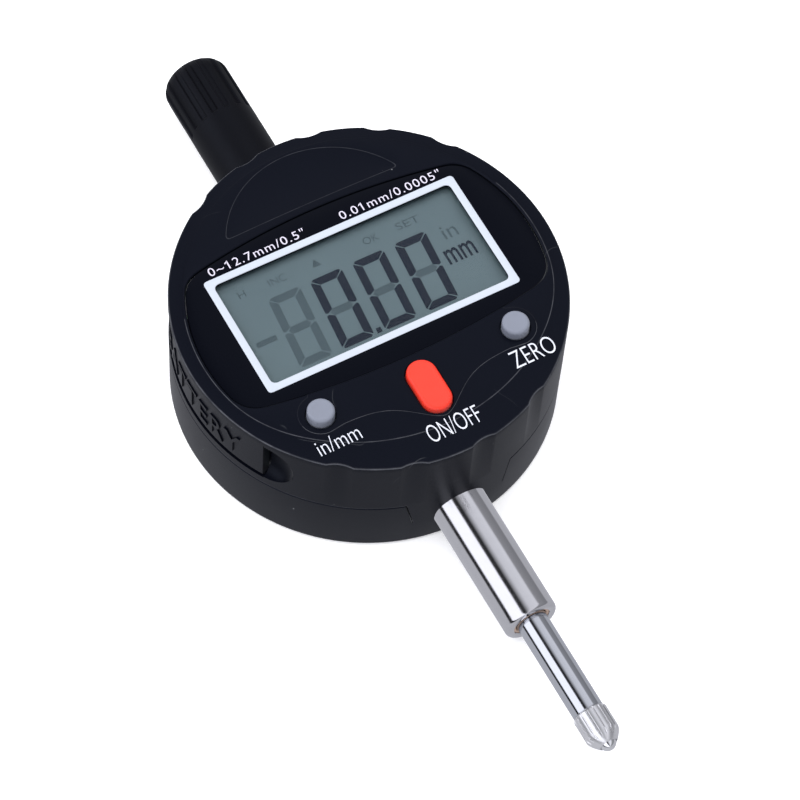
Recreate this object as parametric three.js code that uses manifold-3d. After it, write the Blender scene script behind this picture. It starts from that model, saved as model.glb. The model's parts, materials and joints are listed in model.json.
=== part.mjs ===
// Digital dial indicator: a round case with a display, a clamping stem, and a sprung spindle that carries a
// ball-ended contact point. Millimetres. The case lies on its back on z = 0 with its centre over the origin,
// the display faces +Z, the spindle runs along Y, the contact point towards -Y and the dust cap towards +Y.
import * as THREE from "three";
import { mergeVertices } from "three/addons/utils/BufferGeometryUtils.js";
import Module from "manifold-3d";

const wasm = await Module();
wasm.setup();

// ---------------------------------------------------------------- driving dimensions
const GAP = 0.3; // between neighbouring pieces
const RUNNING = 0.1; // radial clearance of the spindle in its bushes

const CASE_R = 28;
const WALL = 1.8; // round wall of both shells
const FRONT_HEIGHT = 11.6; // from the split up to the display face
const TOP_WALL = 2.1; // wall behind the display face
const EDGE = 0.6; // chamfer round the back edge
const ROUND = 72; // sides of the round case

const STEM_R = 4; // the standard 8 mm clamping stem
const STEM_LENGTH = 20.2; // beyond the case
const STEP = 0.8; // the stem and the upper guide are this much thinner inside the case
const SPINDLE_R = 2.25;
const SPINDLE_OUT = 15.5; // beyond the stem at rest
const TRAVEL = 12.7;
const POINT_LENGTH = 5.2; // from the contact point's shoulder to its rim
const BALL_R = 1.25;
const BALL_PROUD = 0.85; // how far the ball stands out of the rim

const CAP_WALL = 0.8; // where the dust cap passes over the upper guide
const CAP_LENGTH = 26.5;
const CAP_CEILING = 2.1;
const CAP_FLUTED = 10.75; // length of the fluted grip
const CAP_FLUTES = 16;
const CAP_ROUND = 2.5; // radius round the closed end
const FLUTE_R = 0.75; // of the cutters for its flutes, which run outside the cap by FLUTE_OFF
const FLUTE_OFF = 0.4;
const CAP_UNDER = 0.15; // the cap clears the surface that the case lies on
const GUIDE_LENGTH = 5.5; // upper guide beyond the case

const DIP_DEPTH = 0.6; // shallow grip dips down the front shell's side
const DIP_R = 3.9;
const TOP_DIPS = { middle: 79.7, pitch: 20.4, count: 5 }; // degrees
const BOTTOM_DIPS = { middle: 265, pitch: 21.2, count: 4 };

const LABEL_SIDE = 2.5; // from the case's outline in to the label's round sides
const LABEL_TOP = { y: 15.8, r: 100.7 }; // the label's shallow upper arc: its highest point and radius
const LABEL_BOTTOM = { y: -11.3, r: 122 };
const LABEL_T = 0.45;
const LABEL_SUNK = 0.25; // below the display face
const VIEW = { y: 2.1, half_x: 18.75, half_y: 8.9 }; // the opening that shows the display
const GLASS = { half_x: 20.2, half_y: 10.2, t: 1.1 };
const LENS_T = 0.3;
const SHELF = 1.0; // wall left under the label, round the display

const ROUND_BUTTON = { x: 15.27, y: -14.17, r: 1.95, proud: 1.5 };
const LONG_BUTTON = { x: 0, y: -17.1, r: 2.2, half: 2.05, proud: 1.1 };
const FLANGE = 0.65; // button flange beyond the button
const FLANGE_T = 0.7;
const PRESS = 0.6;

const CELL_R = 10; // a 2032 coin cell
const CELL_T = 3.2;
const TRAY_WALL = 0.8;
const TRAY_FLOOR = 0.5;
const TRAY_LIFT = 2.1; // above the split
const CELL_OFF = 3; // from the case's axis to the cell's near edge
const COVER = { low: 1.55, height: 8.25, beyond: 2.5 }; // battery cover above the split, and past the tray
const NOTCH_R = 4.2; // thumb notch at the cover's lower end
const NOTCH_DEPTH = 2.1;

const BOARD_SCREW = { angles: [9.7, -9.7, 75, 255], inset: 4.3, shank: 4.6 };
const DISPLAY_SCREW = { inboard: 5, below_tray: 1.8, above_glass: 3.3, in_from_glass: 2.7 };
const DISPLAY_MARGIN = { side: 1.2, round: 1.8 }; // display board beyond the glass and inside the round wall
const HOLE_SPARE = 0.6; // a blind screw hole is this much deeper than its screw
const BOSS_R = 2.6; // of the case screws
const POST_R = 1.5; // of the board screws
const BOARD_T = 0.8;
const COVER_T = 1.6; // back cover
const COVER_LAP = 1.2; // the cover reaches this far past the ledge's inner edge
const LEDGE_T = 1.5;
const SWITCH = { half: 1.75, t: 0.4, plunger_r: 0.9, rise: 1.5 };
const LEAF = { half: 1.6, t: 0.25 }; // lower battery contact
const CHIP_T = 1.2;
const ARM = { half: 3, t: 1.0, beyond: 1.8 }; // chassis arms, screwed to the back shell's ledge
const CARRIER = { length: 8, half: 4.6 };
const STRIP = { half: 3.3, length: 24, t: 0.6 };
const SPRING = { wire_r: 0.25, turns: 10 };

const CASE_SCREW = { angles: [60, 120, 240, 300], inset: 6.2, r: 1.0, head_r: 1.9, head_t: 0.65, bite: 4.3 };
const SMALL_SCREW = { r: 0.7, head_r: 1.3, head_t: 0.8 };
const TINY_SCREW = { r: 0.6, head_r: 1.2, head_t: 0.6 };

// ---------------------------------------------------------------- what follows from them
const CAP_R = STEM_R + GAP + CAP_WALL;
const AXIS_Z = CAP_R + CAP_UNDER; // height of the spindle's axis
const SPLIT_Z = AXIS_Z + STEM_R + GAP + 0.85; // top of the back shell, closing over the stem's hole
const FRONT_Z = SPLIT_Z + GAP; // bottom of the front shell
const FACE_Z = SPLIT_Z + FRONT_HEIGHT;
const CEILING_Z = FACE_Z - TOP_WALL;
const INNER_R = CASE_R - WALL;
const SHOULDER_Y = INNER_R - 0.6; // where the stem and the upper guide step down
const STEM_END = -(CASE_R + STEM_LENGTH);
const SPINDLE_END = STEM_END - SPINDLE_OUT;
const CAP_START = CASE_R + GAP;
const CAP_END = CAP_START + CAP_LENGTH;
const SPINDLE_TOP = CAP_END - CAP_CEILING - TRAVEL - 2;
const SHANK_R = STEM_R - STEP;
const LUG_ROOF = 0.15; // left over the bore
const CLEAR_BORE_R = SPINDLE_R + 0.35;
const BUSH_BORE_R = SPINDLE_R + RUNNING;
const BUSH_R = SPINDLE_R + 0.75;
const BUSH_SEAT_R = BUSH_R + GAP;
const BUSH_LENGTH = 6.5;
const BUSH_SUNK = 0.1; // behind the tube's end

const LEDGE_Z = COVER_T + GAP; // ledge that the back cover seats on
const LEDGE_R = CASE_R - 4.1;
const LUG = { near: LEDGE_R - 7.3, far: LEDGE_R - 1.7, half: 7.4, wall: 1.75, top: AXIS_Z + SHANK_R + GAP + LUG_ROOF };
const CHASSIS_WALL = 1.6;
const ARM_Z = LEDGE_Z + LEDGE_T + GAP;
const ARM_SCREW_X = CASE_R - 4.4;

const BUMPER_T = 1.0;
const BUMPER_R = AXIS_Z - COVER_T - GAP; // clears the back cover
const CARRIER_Y = -LUG.near + GAP + BUMPER_T + GAP; // lower end of the carrier at rest
const PIN_Y = CARRIER_Y + CARRIER.length / 2;
const PIN_R = 0.5;
const STRIP_Z = LUG.top + GAP;
const SPRING_R = SPINDLE_R + 0.65;

const MAIN_BOARD_Z = FRONT_Z;
const MAIN_BOARD_TOP = MAIN_BOARD_Z + BOARD_T;
const TRAY_HALF = CELL_R + TRAY_WALL;
const TRAY_Z = SPLIT_Z + TRAY_LIFT;
const CELL_Z = TRAY_Z + TRAY_FLOOR + GAP;
const CELL_X = -(CELL_R + CELL_OFF);
const TRAY_TOP = CELL_Z + CELL_T;
const COVER_Z = SPLIT_Z + COVER.low + GAP;
const COVER_TOP = COVER_Z + COVER.height;
const COVER_HALF = THREE.MathUtils.radToDeg(Math.asin((TRAY_HALF + COVER.beyond) / INNER_R));
const SLIT = THREE.MathUtils.radToDeg(GAP / INNER_R); // the gap as an angle at the wall

const LABEL_TOP_Z = FACE_Z - LABEL_SUNK;
const LABEL_Z = LABEL_TOP_Z - LABEL_T;
const RECESS_Z = LABEL_Z - GAP;
const LENS_Z = RECESS_Z - LENS_T;
const GLASS_TOP = LENS_Z - GAP;
const GLASS_Z = GLASS_TOP - GLASS.t;
const HOLDER_Z = GLASS_Z - 0.9;
const DISPLAY_BOARD_TOP = HOLDER_Z - GAP;
const DISPLAY_BOARD_Z = DISPLAY_BOARD_TOP - BOARD_T;
const FLANGE_STOP = CEILING_Z + 0.8; // the button flanges rest below this
const SWITCH_TOP = HOLDER_Z + SWITCH.rise;

// ---------------------------------------------------------------- solids
// A closed three.js geometry as a manifold-3d solid, its faces turned outwards.
function solid(geometry) {
  const plain = new THREE.BufferGeometry();
  plain.setAttribute("position", geometry.getAttribute("position"));
  plain.setIndex(geometry.index);
  const merged = mergeVertices(plain, 1e-5);
  const corners = merged.index.array;
  const kept = [];
  for (let i = 0; i < corners.length; i += 3) {
    const [a, b, c] = [corners[i], corners[i + 1], corners[i + 2]];
    if (a !== b && b !== c && c !== a) kept.push(a, b, c);
  }
  const build = (triangles) =>
    new wasm.Manifold(
      new wasm.Mesh({
        numProp: 3,
        vertProperties: merged.attributes.position.array,
        triVerts: new Uint32Array(triangles),
      }),
    );
  const made = build(kept);
  return made.volume() < 0 ? build(kept.toReversed()) : made;
}

const cut = (body, ...tools) => tools.reduce((rest, tool) => rest.subtract(tool), body);
const join = (body, ...others) => others.reduce((all, other) => all.add(other), body);

function block(x0, x1, y0, y1, z0, z1) {
  const box = new THREE.BoxGeometry(x1 - x0, y1 - y0, z1 - z0);
  return solid(box.translate((x0 + x1) / 2, (y0 + y1) / 2, (z0 + z1) / 2));
}

// An upright cylinder.
function disc(r, z0, z1, x = 0, y = 0, sides = 16) {
  const cylinder = new THREE.CylinderGeometry(r, r, z1 - z0, sides);
  return solid(cylinder.rotateX(Math.PI / 2).translate(x, y, (z0 + z1) / 2));
}

// A cylinder along the spindle's direction.
function rod(r, y0, y1, x = 0, z = AXIS_Z, sides = 32) {
  return solid(new THREE.CylinderGeometry(r, r, y1 - y0, sides).translate(x, (y0 + y1) / 2, z));
}

// A cylinder across the spindle.
function crossRod(r, x0, x1, y, z = AXIS_Z, sides = 16) {
  const cylinder = new THREE.CylinderGeometry(r, r, x1 - x0, sides);
  return solid(cylinder.rotateZ(Math.PI / 2).translate((x0 + x1) / 2, y, z));
}

// A profile of [radius, y] points turned round the spindle's axis.
function turned(profile, sides = 32) {
  const points = profile.map(([r, y]) => new THREE.Vector2(r, y));
  return solid(new THREE.LatheGeometry(points, sides).translate(0, 0, AXIS_Z));
}

// A closed profile of [radius, z] points turned round the case's axis.
function ring(profile, sides = ROUND) {
  const points = [...profile, profile[0]].map(([r, z]) => new THREE.Vector2(r, z));
  return solid(new THREE.LatheGeometry(points, sides).rotateX(Math.PI / 2));
}

function prism(shape, z0, z1, curveSegments = 10) {
  const settings = { depth: z1 - z0, bevelEnabled: false, curveSegments };
  return solid(new THREE.ExtrudeGeometry(shape, settings).translate(0, 0, z0));
}

// A piece of a round wall between two angles, in degrees from +X.
function sector(r0, r1, from, to, z0, z1) {
  const [a, b] = [from, to].map(THREE.MathUtils.degToRad);
  const shape = new THREE.Shape();
  shape.absarc(0, 0, r1, a, b, false);
  shape.absarc(0, 0, r0, b, a, true);
  return prism(shape, z0, z1, 8);
}

// An upright slot: two half rounds of radius r, their centres 2 * half apart along Y.
function slot(r, half, z0, z1, x, y) {
  const shape = new THREE.Shape();
  shape.absarc(x, y + half, r, 0, Math.PI, false);
  shape.absarc(x, y - half, r, Math.PI, 2 * Math.PI, false);
  return prism(shape, z0, z1, 5);
}

function roundedBox(half_x, half_y, y, corner, z0, z1) {
  const shape = new THREE.Shape();
  const [w, h] = [half_x - corner, half_y - corner];
  shape.absarc(w, y + h, corner, 0, Math.PI / 2, false);
  shape.absarc(-w, y + h, corner, Math.PI / 2, Math.PI, false);
  shape.absarc(-w, y - h, corner, Math.PI, 1.5 * Math.PI, false);
  shape.absarc(w, y - h, corner, 1.5 * Math.PI, 2 * Math.PI, false);
  return prism(shape, z0, z1, 2);
}

const polar = (r, degrees) => {
  const a = THREE.MathUtils.degToRad(degrees);
  return [r * Math.cos(a), r * Math.sin(a)];
};

// ---------------------------------------------------------------- the assembly
const indicator = new THREE.Group();
const finish = (color, roughness, metalness = 0) =>
  new THREE.MeshStandardMaterial({ color, roughness, metalness });
const BLACK_PLASTIC = finish(0x1b1c22, 0.42);
const LABEL_BLACK = finish(0x0e0f14, 0.15);
const GREY_PLASTIC = finish(0x9698a5, 0.45);
const RED_PLASTIC = finish(0xf03a28, 0.4);
const STEEL = finish(0xc8c8c8, 0.2, 1);
const BRONZE = finish(0xa8743c, 0.35, 1);
const ZINC = finish(0x9b9ca0, 0.5, 1);
const BOARD_GREEN = finish(0x1f5a35, 0.5);
const LCD_GREY = finish(0x627579, 0.25);
const CLEAR = finish(0xe8eef0, 0.05);
const RUBBER = finish(0x1a1a1a, 0.8);
const CERAMIC = finish(0x22252b, 0.4);

function add(name, made, material) {
  const { vertProperties, triVerts } = made.getMesh();
  const geometry = new THREE.BufferGeometry();
  geometry.setAttribute("position", new THREE.BufferAttribute(new Float32Array(vertProperties), 3));
  geometry.setIndex(new THREE.BufferAttribute(new Uint32Array(triVerts), 1));
  geometry.computeVertexNormals();
  const mesh = new THREE.Mesh(geometry, material);
  mesh.name = name;
  indicator.add(mesh);
}

// ---------------------------------------------------------------- places of the fasteners
const SCREW_R = CASE_R - CASE_SCREW.inset;
const caseScrews = CASE_SCREW.angles.map((angle) => polar(SCREW_R, angle));
const armScrews = [1, -1].map((side) => [side * ARM_SCREW_X, 0]);
const boardScrews = BOARD_SCREW.angles.map((angle) => polar(CASE_R - BOARD_SCREW.inset, angle));
// A lower pair inboard of the round buttons and clear of the battery tray, an upper pair above the display.
const lowY = -(TRAY_HALF + DISPLAY_SCREW.below_tray);
const lowX = ROUND_BUTTON.x - DISPLAY_SCREW.inboard;
const highY = VIEW.y + GLASS.half_y + DISPLAY_SCREW.above_glass;
const highX = GLASS.half_x - DISPLAY_SCREW.in_from_glass;
const displayScrews = [
  [lowX, lowY],
  [-lowX, lowY],
  [highX, highY],
  [-highX, highY],
];

// ---------------------------------------------------------------- case
// The outline that the label and its recess share, grown outwards by a clearance.
function labelOutline(grow, z0, z1) {
  const side = disc(CASE_R - LABEL_SIDE + grow, z0, z1, 0, 0, ROUND);
  const upper = disc(LABEL_TOP.r + grow, z0, z1, 0, LABEL_TOP.y - LABEL_TOP.r, 120);
  const lower = disc(LABEL_BOTTOM.r + grow, z0, z1, 0, LABEL_BOTTOM.y + LABEL_BOTTOM.r, 120);
  return side.intersect(upper).intersect(lower);
}

function dips({ middle, pitch, count }) {
  return Array.from({ length: count }, (_, i) => {
    const angle = middle + (i - (count - 1) / 2) * pitch;
    const [x, y] = polar(CASE_R - DIP_DEPTH + DIP_R, angle);
    return disc(DIP_R, SPLIT_Z, FACE_Z + 1, x, y, 24);
  });
}

// The front shell's tongue closes over the stem; grow widens it into the back shell's notch.
const TONGUE = { top: 8.2, end: 7.1, lip: 0.15 };
function tongue(grow) {
  const end = AXIS_Z + (grow ? -TONGUE.lip : TONGUE.lip);
  const shape = new THREE.Shape([
    new THREE.Vector2(-TONGUE.end - grow, end),
    new THREE.Vector2(TONGUE.end + grow, end),
    new THREE.Vector2(TONGUE.top + grow, FRONT_Z + GAP),
    new THREE.Vector2(-TONGUE.top - grow, FRONT_Z + GAP),
  ]);
  const depth = CASE_R;
  const wedge = new THREE.ExtrudeGeometry(shape, { depth, bevelEnabled: false });
  return solid(wedge.rotateX(Math.PI / 2));
}

const tongueRing = (inset) =>
  cut(disc(CASE_R, 0, FRONT_Z + GAP, 0, 0, ROUND), disc(INNER_R + inset, -1, FRONT_Z + 1, 0, 0, ROUND));
const stemHole = rod(STEM_R + GAP, -CASE_R - 1, -LUG.far - GAP);
const guideHole = rod(STEM_R + GAP, LUG.far + GAP, CASE_R + 1);

const LINER = { t: 1.6, overlap: 2, span: 15 }; // wall behind the thumb notch, its angles in degrees
const NOTCH_OFF = 1.3; // degrees from the doorway to the notch's middle
function frontShell() {
  const [notchX, notchY] = polar(1, 180 + COVER_HALF + SLIT + NOTCH_OFF);
  const notch = new THREE.CylinderGeometry(NOTCH_R, NOTCH_R, NOTCH_DEPTH + 1, 20);
  const notchAxis = new THREE.Vector3(notchX, notchY, 0);
  const upright = new THREE.Quaternion().setFromUnitVectors(new THREE.Vector3(0, 1, 0), notchAxis);
  const notchMiddle = CASE_R - NOTCH_DEPTH + (NOTCH_DEPTH + 1) / 2;
  notch.applyQuaternion(upright);
  notch.translate(notchX * notchMiddle, notchY * notchMiddle, (COVER_Z + COVER_TOP) / 2);
  const { t, overlap, span } = LINER;
  const from = 180 + COVER_HALF - overlap;
  const liner = sector(INNER_R - t, INNER_R + WALL / 4, from, from + span, COVER_Z - GAP, CEILING_Z + GAP);

  let shell = cut(
    disc(CASE_R, FRONT_Z, FACE_Z, 0, 0, ROUND),
    disc(INNER_R, FRONT_Z - 1, CEILING_Z, 0, 0, ROUND),
  );
  const wallTongue = tongue(0).intersect(tongueRing(0)).subtract(stemHole);
  shell = join(shell, wallTongue, liner);
  for (const [x, y] of caseScrews) shell = join(shell, disc(BOSS_R, FRONT_Z, CEILING_Z + GAP, x, y));
  for (const [x, y] of boardScrews) {
    shell = join(shell, disc(POST_R, MAIN_BOARD_TOP + GAP, CEILING_Z + GAP, x, y, 12));
  }
  for (const [x, y] of displayScrews) {
    shell = join(shell, disc(TINY_SCREW.head_r, DISPLAY_BOARD_TOP + GAP, CEILING_Z + GAP, x, y, 12));
  }
  shell = cut(shell, labelOutline(GAP, RECESS_Z, FACE_Z + 1));
  shell = cut(
    shell,
    roundedBox(GLASS.half_x + GAP, GLASS.half_y + GAP, VIEW.y, 0.5, CEILING_Z - 1, FACE_Z),
  );
  for (const side of [1, -1]) {
    const { x, y, r } = ROUND_BUTTON;
    shell = cut(shell, disc(r + GAP, CEILING_Z - 1, FACE_Z + 1, side * x, y));
    shell = cut(shell, disc(r + FLANGE + GAP, CEILING_Z - 1, FLANGE_STOP, side * x, y));
  }
  const { x, y, r, half } = LONG_BUTTON;
  shell = cut(shell, slot(r + GAP, half, CEILING_Z - 1, FACE_Z + 1, x, y));
  shell = cut(shell, slot(r + FLANGE + GAP, half, CEILING_Z - 1, FLANGE_STOP, x, y));
  const doorway = sector(
    CASE_R - NOTCH_DEPTH,
    CASE_R + 1,
    180 - COVER_HALF - SLIT,
    180 + COVER_HALF + SLIT,
    COVER_Z - GAP,
    COVER_TOP + GAP,
  );
  shell = cut(shell, doorway, solid(notch), ...dips(TOP_DIPS), ...dips(BOTTOM_DIPS));
  const bite = CASE_SCREW.bite + HOLE_SPARE;
  for (const [sx, sy] of caseScrews) {
    shell = cut(shell, disc(CASE_SCREW.r + GAP, FRONT_Z - 1, FRONT_Z + bite, sx, sy, 10));
  }
  for (const [sx, sy] of boardScrews) {
    shell = cut(shell, disc(SMALL_SCREW.r + GAP, MAIN_BOARD_TOP, MAIN_BOARD_TOP + BOARD_SCREW.shank, sx, sy, 8));
  }
  for (const [sx, sy] of displayScrews) {
    shell = cut(shell, disc(TINY_SCREW.r + GAP, DISPLAY_BOARD_TOP, FACE_Z - SHELF, sx, sy, 8));
  }
  return shell;
}

const RIB_T = 1.2; // ribs from the bosses to the wall
const PAD_R = 2.2; // pads under the chassis arms
function backShell() {
  let shell = ring([
    [LEDGE_R + COVER_LAP, 0],
    [CASE_R - EDGE, 0],
    [CASE_R, EDGE],
    [CASE_R, SPLIT_Z],
    [INNER_R, SPLIT_Z],
    [INNER_R, LEDGE_Z + LEDGE_T],
    [LEDGE_R, LEDGE_Z + LEDGE_T],
    [LEDGE_R, LEDGE_Z],
    [LEDGE_R + COVER_LAP, LEDGE_Z],
  ]);
  const inside = disc(INNER_R + 0.2, 0, SPLIT_Z, 0, 0, ROUND);
  for (const [x, y] of caseScrews) {
    const rib = block(-RIB_T / 2, RIB_T / 2, SCREW_R, CASE_R - WALL / 2, LEDGE_Z, SPLIT_Z);
    const turn = THREE.MathUtils.radToDeg(Math.atan2(y, x)) - 90;
    shell = join(shell, disc(BOSS_R, LEDGE_Z, SPLIT_Z, x, y), rib.rotate([0, 0, turn]));
  }
  for (const [x, y] of armScrews) {
    shell = join(shell, disc(PAD_R, LEDGE_Z, LEDGE_Z + LEDGE_T, x, y).intersect(inside));
  }
  shell = cut(shell, stemHole, guideHole, tongue(GAP).intersect(tongueRing(-1)));
  for (const [x, y] of caseScrews) {
    shell = cut(shell, disc(CASE_SCREW.r + GAP, LEDGE_Z - 1, SPLIT_Z + 1, x, y, 10));
  }
  for (const [x, y] of armScrews) {
    shell = cut(shell, disc(SMALL_SCREW.r + GAP, LEDGE_Z - 1, ARM_Z, x, y, 8));
  }
  return shell;
}

const SCREW_SEAT = 1.1; // depth of the counterbores in the back cover
function backCover() {
  let cover = disc(LEDGE_R + COVER_LAP - GAP, 0, COVER_T, 0, 0, ROUND);
  for (const [x, y] of caseScrews) {
    cover = cut(cover, disc(CASE_SCREW.head_r + GAP, -1, SCREW_SEAT, x, y, 14));
    cover = cut(cover, disc(CASE_SCREW.r + GAP, -1, COVER_T + 1, x, y, 10));
  }
  return cover;
}

// A screw whose head starts at z and whose shank runs upwards from it.
function screwUp({ r, head_r, head_t }, z, length, [x, y]) {
  const head = disc(head_r, z, z + head_t, x, y, 12);
  return join(head, disc(r, z + head_t / 2, z + head_t + length, x, y, 8));
}

add("front_shell", frontShell(), BLACK_PLASTIC);
add("back_shell", backShell(), BLACK_PLASTIC);
add("back_cover", backCover(), BLACK_PLASTIC);
caseScrews.forEach((at, i) => {
  const start = SCREW_SEAT - GAP - CASE_SCREW.head_t;
  const reach = SPLIT_Z + GAP + CASE_SCREW.bite - SCREW_SEAT;
  add(`case_screw_${i + 1}`, screwUp(CASE_SCREW, start, reach, at), STEEL);
});

// ---------------------------------------------------------------- display and buttons
const view = (grow, z0, z1) => roundedBox(VIEW.half_x + grow, VIEW.half_y + grow, VIEW.y, 0.8, z0, z1);
add(
  "label_plate",
  cut(labelOutline(0, LABEL_Z, LABEL_TOP_Z), view(0, LABEL_Z - 1, FACE_Z)),
  LABEL_BLACK,
);
const pane = (z0, z1) => {
  const { half_x, half_y } = GLASS;
  return block(-half_x, half_x, VIEW.y - half_y, VIEW.y + half_y, z0, z1);
};
add("window_lens", pane(LENS_Z, RECESS_Z), CLEAR);
add("lcd_glass", pane(GLASS_Z, GLASS_TOP), LCD_GREY);

const ZEBRA = { y: GLASS.half_y - 1.3, half_x: GLASS.half_x - 2.5, half_y: 0.5 };
function lcdHolder() {
  const { half_x, half_y } = GLASS;
  let holder = roundedBox(half_x + 0.9, half_y + 0.9, VIEW.y, 0.8, HOLDER_Z, CEILING_Z - GAP);
  holder = cut(holder, roundedBox(half_x + GAP, half_y + GAP, VIEW.y, 0.3, GLASS_Z - GAP, FACE_Z));
  holder = cut(holder, roundedBox(half_x - 1.6, half_y - 2.6, VIEW.y, 0.3, HOLDER_Z - 1, FACE_Z));
  for (const side of [1, -1]) {
    const [x, y] = [ZEBRA.half_x + GAP, VIEW.y + side * ZEBRA.y];
    const half = ZEBRA.half_y + GAP;
    holder = cut(holder, block(-x, x, y - half, y + half, HOLDER_Z - 1, FACE_Z));
  }
  return holder;
}
add("lcd_holder", lcdHolder(), BLACK_PLASTIC);
[
  ["zebra_strip_top", 1],
  ["zebra_strip_bottom", -1],
].forEach(([name, side]) => {
  const { half_x, half_y } = ZEBRA;
  const y = VIEW.y + side * ZEBRA.y;
  add(name, block(-half_x, half_x, y - half_y, y + half_y, HOLDER_Z, GLASS_Z - GAP), RUBBER);
});

function displayBoard() {
  const [z0, z1] = [DISPLAY_BOARD_Z, DISPLAY_BOARD_TOP];
  const { half, r, y: keyY } = LONG_BUTTON;
  const x1 = GLASS.half_x + DISPLAY_MARGIN.side;
  const outline = disc(INNER_R - DISPLAY_MARGIN.round, z0, z1, 0, 0, 48);
  let board = outline.intersect(block(-x1, x1, keyY - half - r, highY + DISPLAY_MARGIN.round, z0, z1));
  for (const [x, y] of caseScrews) board = cut(board, disc(BOSS_R + GAP, z0 - 1, z1 + 1, x, y));
  for (const [x, y] of boardScrews) board = cut(board, disc(POST_R + GAP, z0 - 1, z1 + 1, x, y));
  for (const [x, y] of displayScrews) {
    board = cut(board, disc(TINY_SCREW.r + GAP, z0 - 1, z1 + 1, x, y, 8));
  }
  return board;
}
add("display_board", displayBoard(), BOARD_GREEN);
displayScrews.forEach((at, i) => {
  const start = DISPLAY_BOARD_Z - GAP - TINY_SCREW.head_t;
  const reach = FACE_Z - SHELF - GAP - start - TINY_SCREW.head_t;
  add(`display_screw_${i + 1}`, screwUp(TINY_SCREW, start, reach, at), STEEL);
});

const FLANGE_Z = FLANGE_STOP - GAP - FLANGE_T;
const POCKET_Z = SWITCH_TOP + PRESS + 0.1;
const POCKET_R = 1.35;
const CROWN = 0.4; // chamfer round a button's top
function roundButton(side) {
  const { r, proud } = ROUND_BUTTON;
  const top = FACE_Z + proud;
  const profile = [
    [0, POCKET_Z],
    [POCKET_R, POCKET_Z],
    [POCKET_R, FLANGE_Z],
    [r + FLANGE, FLANGE_Z],
    [r + FLANGE, FLANGE_Z + FLANGE_T],
    [r, FLANGE_Z + FLANGE_T],
    [r, top - CROWN],
    [r - CROWN, top],
    [0, top],
  ].map(([radius, z]) => new THREE.Vector2(radius, z));
  const turnedCap = new THREE.LatheGeometry(profile, 32).rotateX(Math.PI / 2);
  return solid(turnedCap.translate(side * ROUND_BUTTON.x, ROUND_BUTTON.y, 0));
}
function longButton() {
  const { x, y, r, half, proud } = LONG_BUTTON;
  const top = FACE_Z + proud;
  const body = slot(r, half, FLANGE_Z, top - CROWN, x, y);
  const crown = slot(r - CROWN / 2, half, FLANGE_Z, top, x, y);
  const flange = slot(r + FLANGE, half, FLANGE_Z, FLANGE_Z + FLANGE_T, x, y);
  return cut(join(body, crown, flange), disc(POCKET_R, FLANGE_Z - 1, POCKET_Z, x, y));
}
add("unit_button", roundButton(-1), GREY_PLASTIC);
add("zero_button", roundButton(1), GREY_PLASTIC);
add("power_button", longButton(), RED_PLASTIC);

const switches = [
  ["unit_switch", -ROUND_BUTTON.x, ROUND_BUTTON.y],
  ["zero_switch", ROUND_BUTTON.x, ROUND_BUTTON.y],
  ["power_switch", LONG_BUTTON.x, LONG_BUTTON.y],
];
for (const [name, x, y] of switches) {
  const { half, t, plunger_r } = SWITCH;
  const body = block(x - half, x + half, y - half, y + half, HOLDER_Z, HOLDER_Z + t);
  add(name, join(body, disc(plunger_r, HOLDER_Z, SWITCH_TOP, x, y, 12)), CERAMIC);
}

// ---------------------------------------------------------------- battery drawer
function batteryDrawer() {
  const [from, to] = [180 - COVER_HALF, 180 + COVER_HALF];
  const cover = sector(INNER_R, CASE_R, from, to, COVER_Z, COVER_TOP);
  const tray = block(-CASE_R, CELL_X + CELL_R + 1, -TRAY_HALF, TRAY_HALF, TRAY_Z, TRAY_TOP);
  const drawer = join(cover, tray.intersect(disc(INNER_R + WALL / 2, 0, FACE_Z, 0, 0, ROUND)));
  const pocket = disc(CELL_R + GAP, TRAY_Z + TRAY_FLOOR, FACE_Z, CELL_X, 0, 40);
  const floorHole = disc(CELL_R - 2, TRAY_Z - 1, FACE_Z, CELL_X, 0, 40);
  const leafNotch = block(CELL_X, 0, -LEAF.half - 2 * GAP, LEAF.half + 2 * GAP, TRAY_Z - 1, TRAY_TOP + 1);
  return cut(drawer, pocket, floorHole, leafNotch);
}
add("battery_drawer", batteryDrawer(), BLACK_PLASTIC);
add("coin_cell", disc(CELL_R, CELL_Z, TRAY_TOP, CELL_X, 0, 40), STEEL);
const LEAF_Z = MAIN_BOARD_TOP + GAP;
const leaf = (x0, x1, z0, z1) => block(CELL_X + x0, CELL_X + x1, -LEAF.half, LEAF.half, z0, z1);
const leafFoot = leaf(2, 7.5, LEAF_Z, LEAF_Z + LEAF.t);
add("lower_battery_contact", join(leafFoot, leaf(3, 5, LEAF_Z, CELL_Z - GAP)), BRONZE);
add("upper_battery_contact", leaf(-3, 5, TRAY_TOP + GAP, DISPLAY_BOARD_Z - GAP), BRONZE);

// ---------------------------------------------------------------- encoder board
function mainBoard() {
  const [z0, z1] = [MAIN_BOARD_Z, MAIN_BOARD_TOP];
  let board = disc(INNER_R - 2 * GAP, z0, z1, 0, 0, 48);
  for (const [x, y] of caseScrews) board = cut(board, disc(BOSS_R + GAP, z0 - 1, z1 + 1, x, y));
  for (const [x, y] of boardScrews) {
    board = cut(board, disc(SMALL_SCREW.r + GAP, z0 - 1, z1 + 1, x, y, 8));
  }
  return board;
}
add("main_board", mainBoard(), BOARD_GREEN);
boardScrews.forEach((at, i) => {
  const start = MAIN_BOARD_Z - GAP - SMALL_SCREW.head_t;
  add(`board_screw_${i + 1}`, screwUp(SMALL_SCREW, start, BOARD_SCREW.shank, at), STEEL);
});
add("encoder_chip", block(5, 12, -6, 1, LEAF_Z, LEAF_Z + CHIP_T), CERAMIC);
add("clock_crystal", block(5, 11, 6, 8, LEAF_Z, LEAF_Z + CHIP_T), STEEL);
add("board_connector", block(14.5, 17, -6, 6, LEAF_Z, DISPLAY_BOARD_Z - GAP), CERAMIC);

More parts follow.
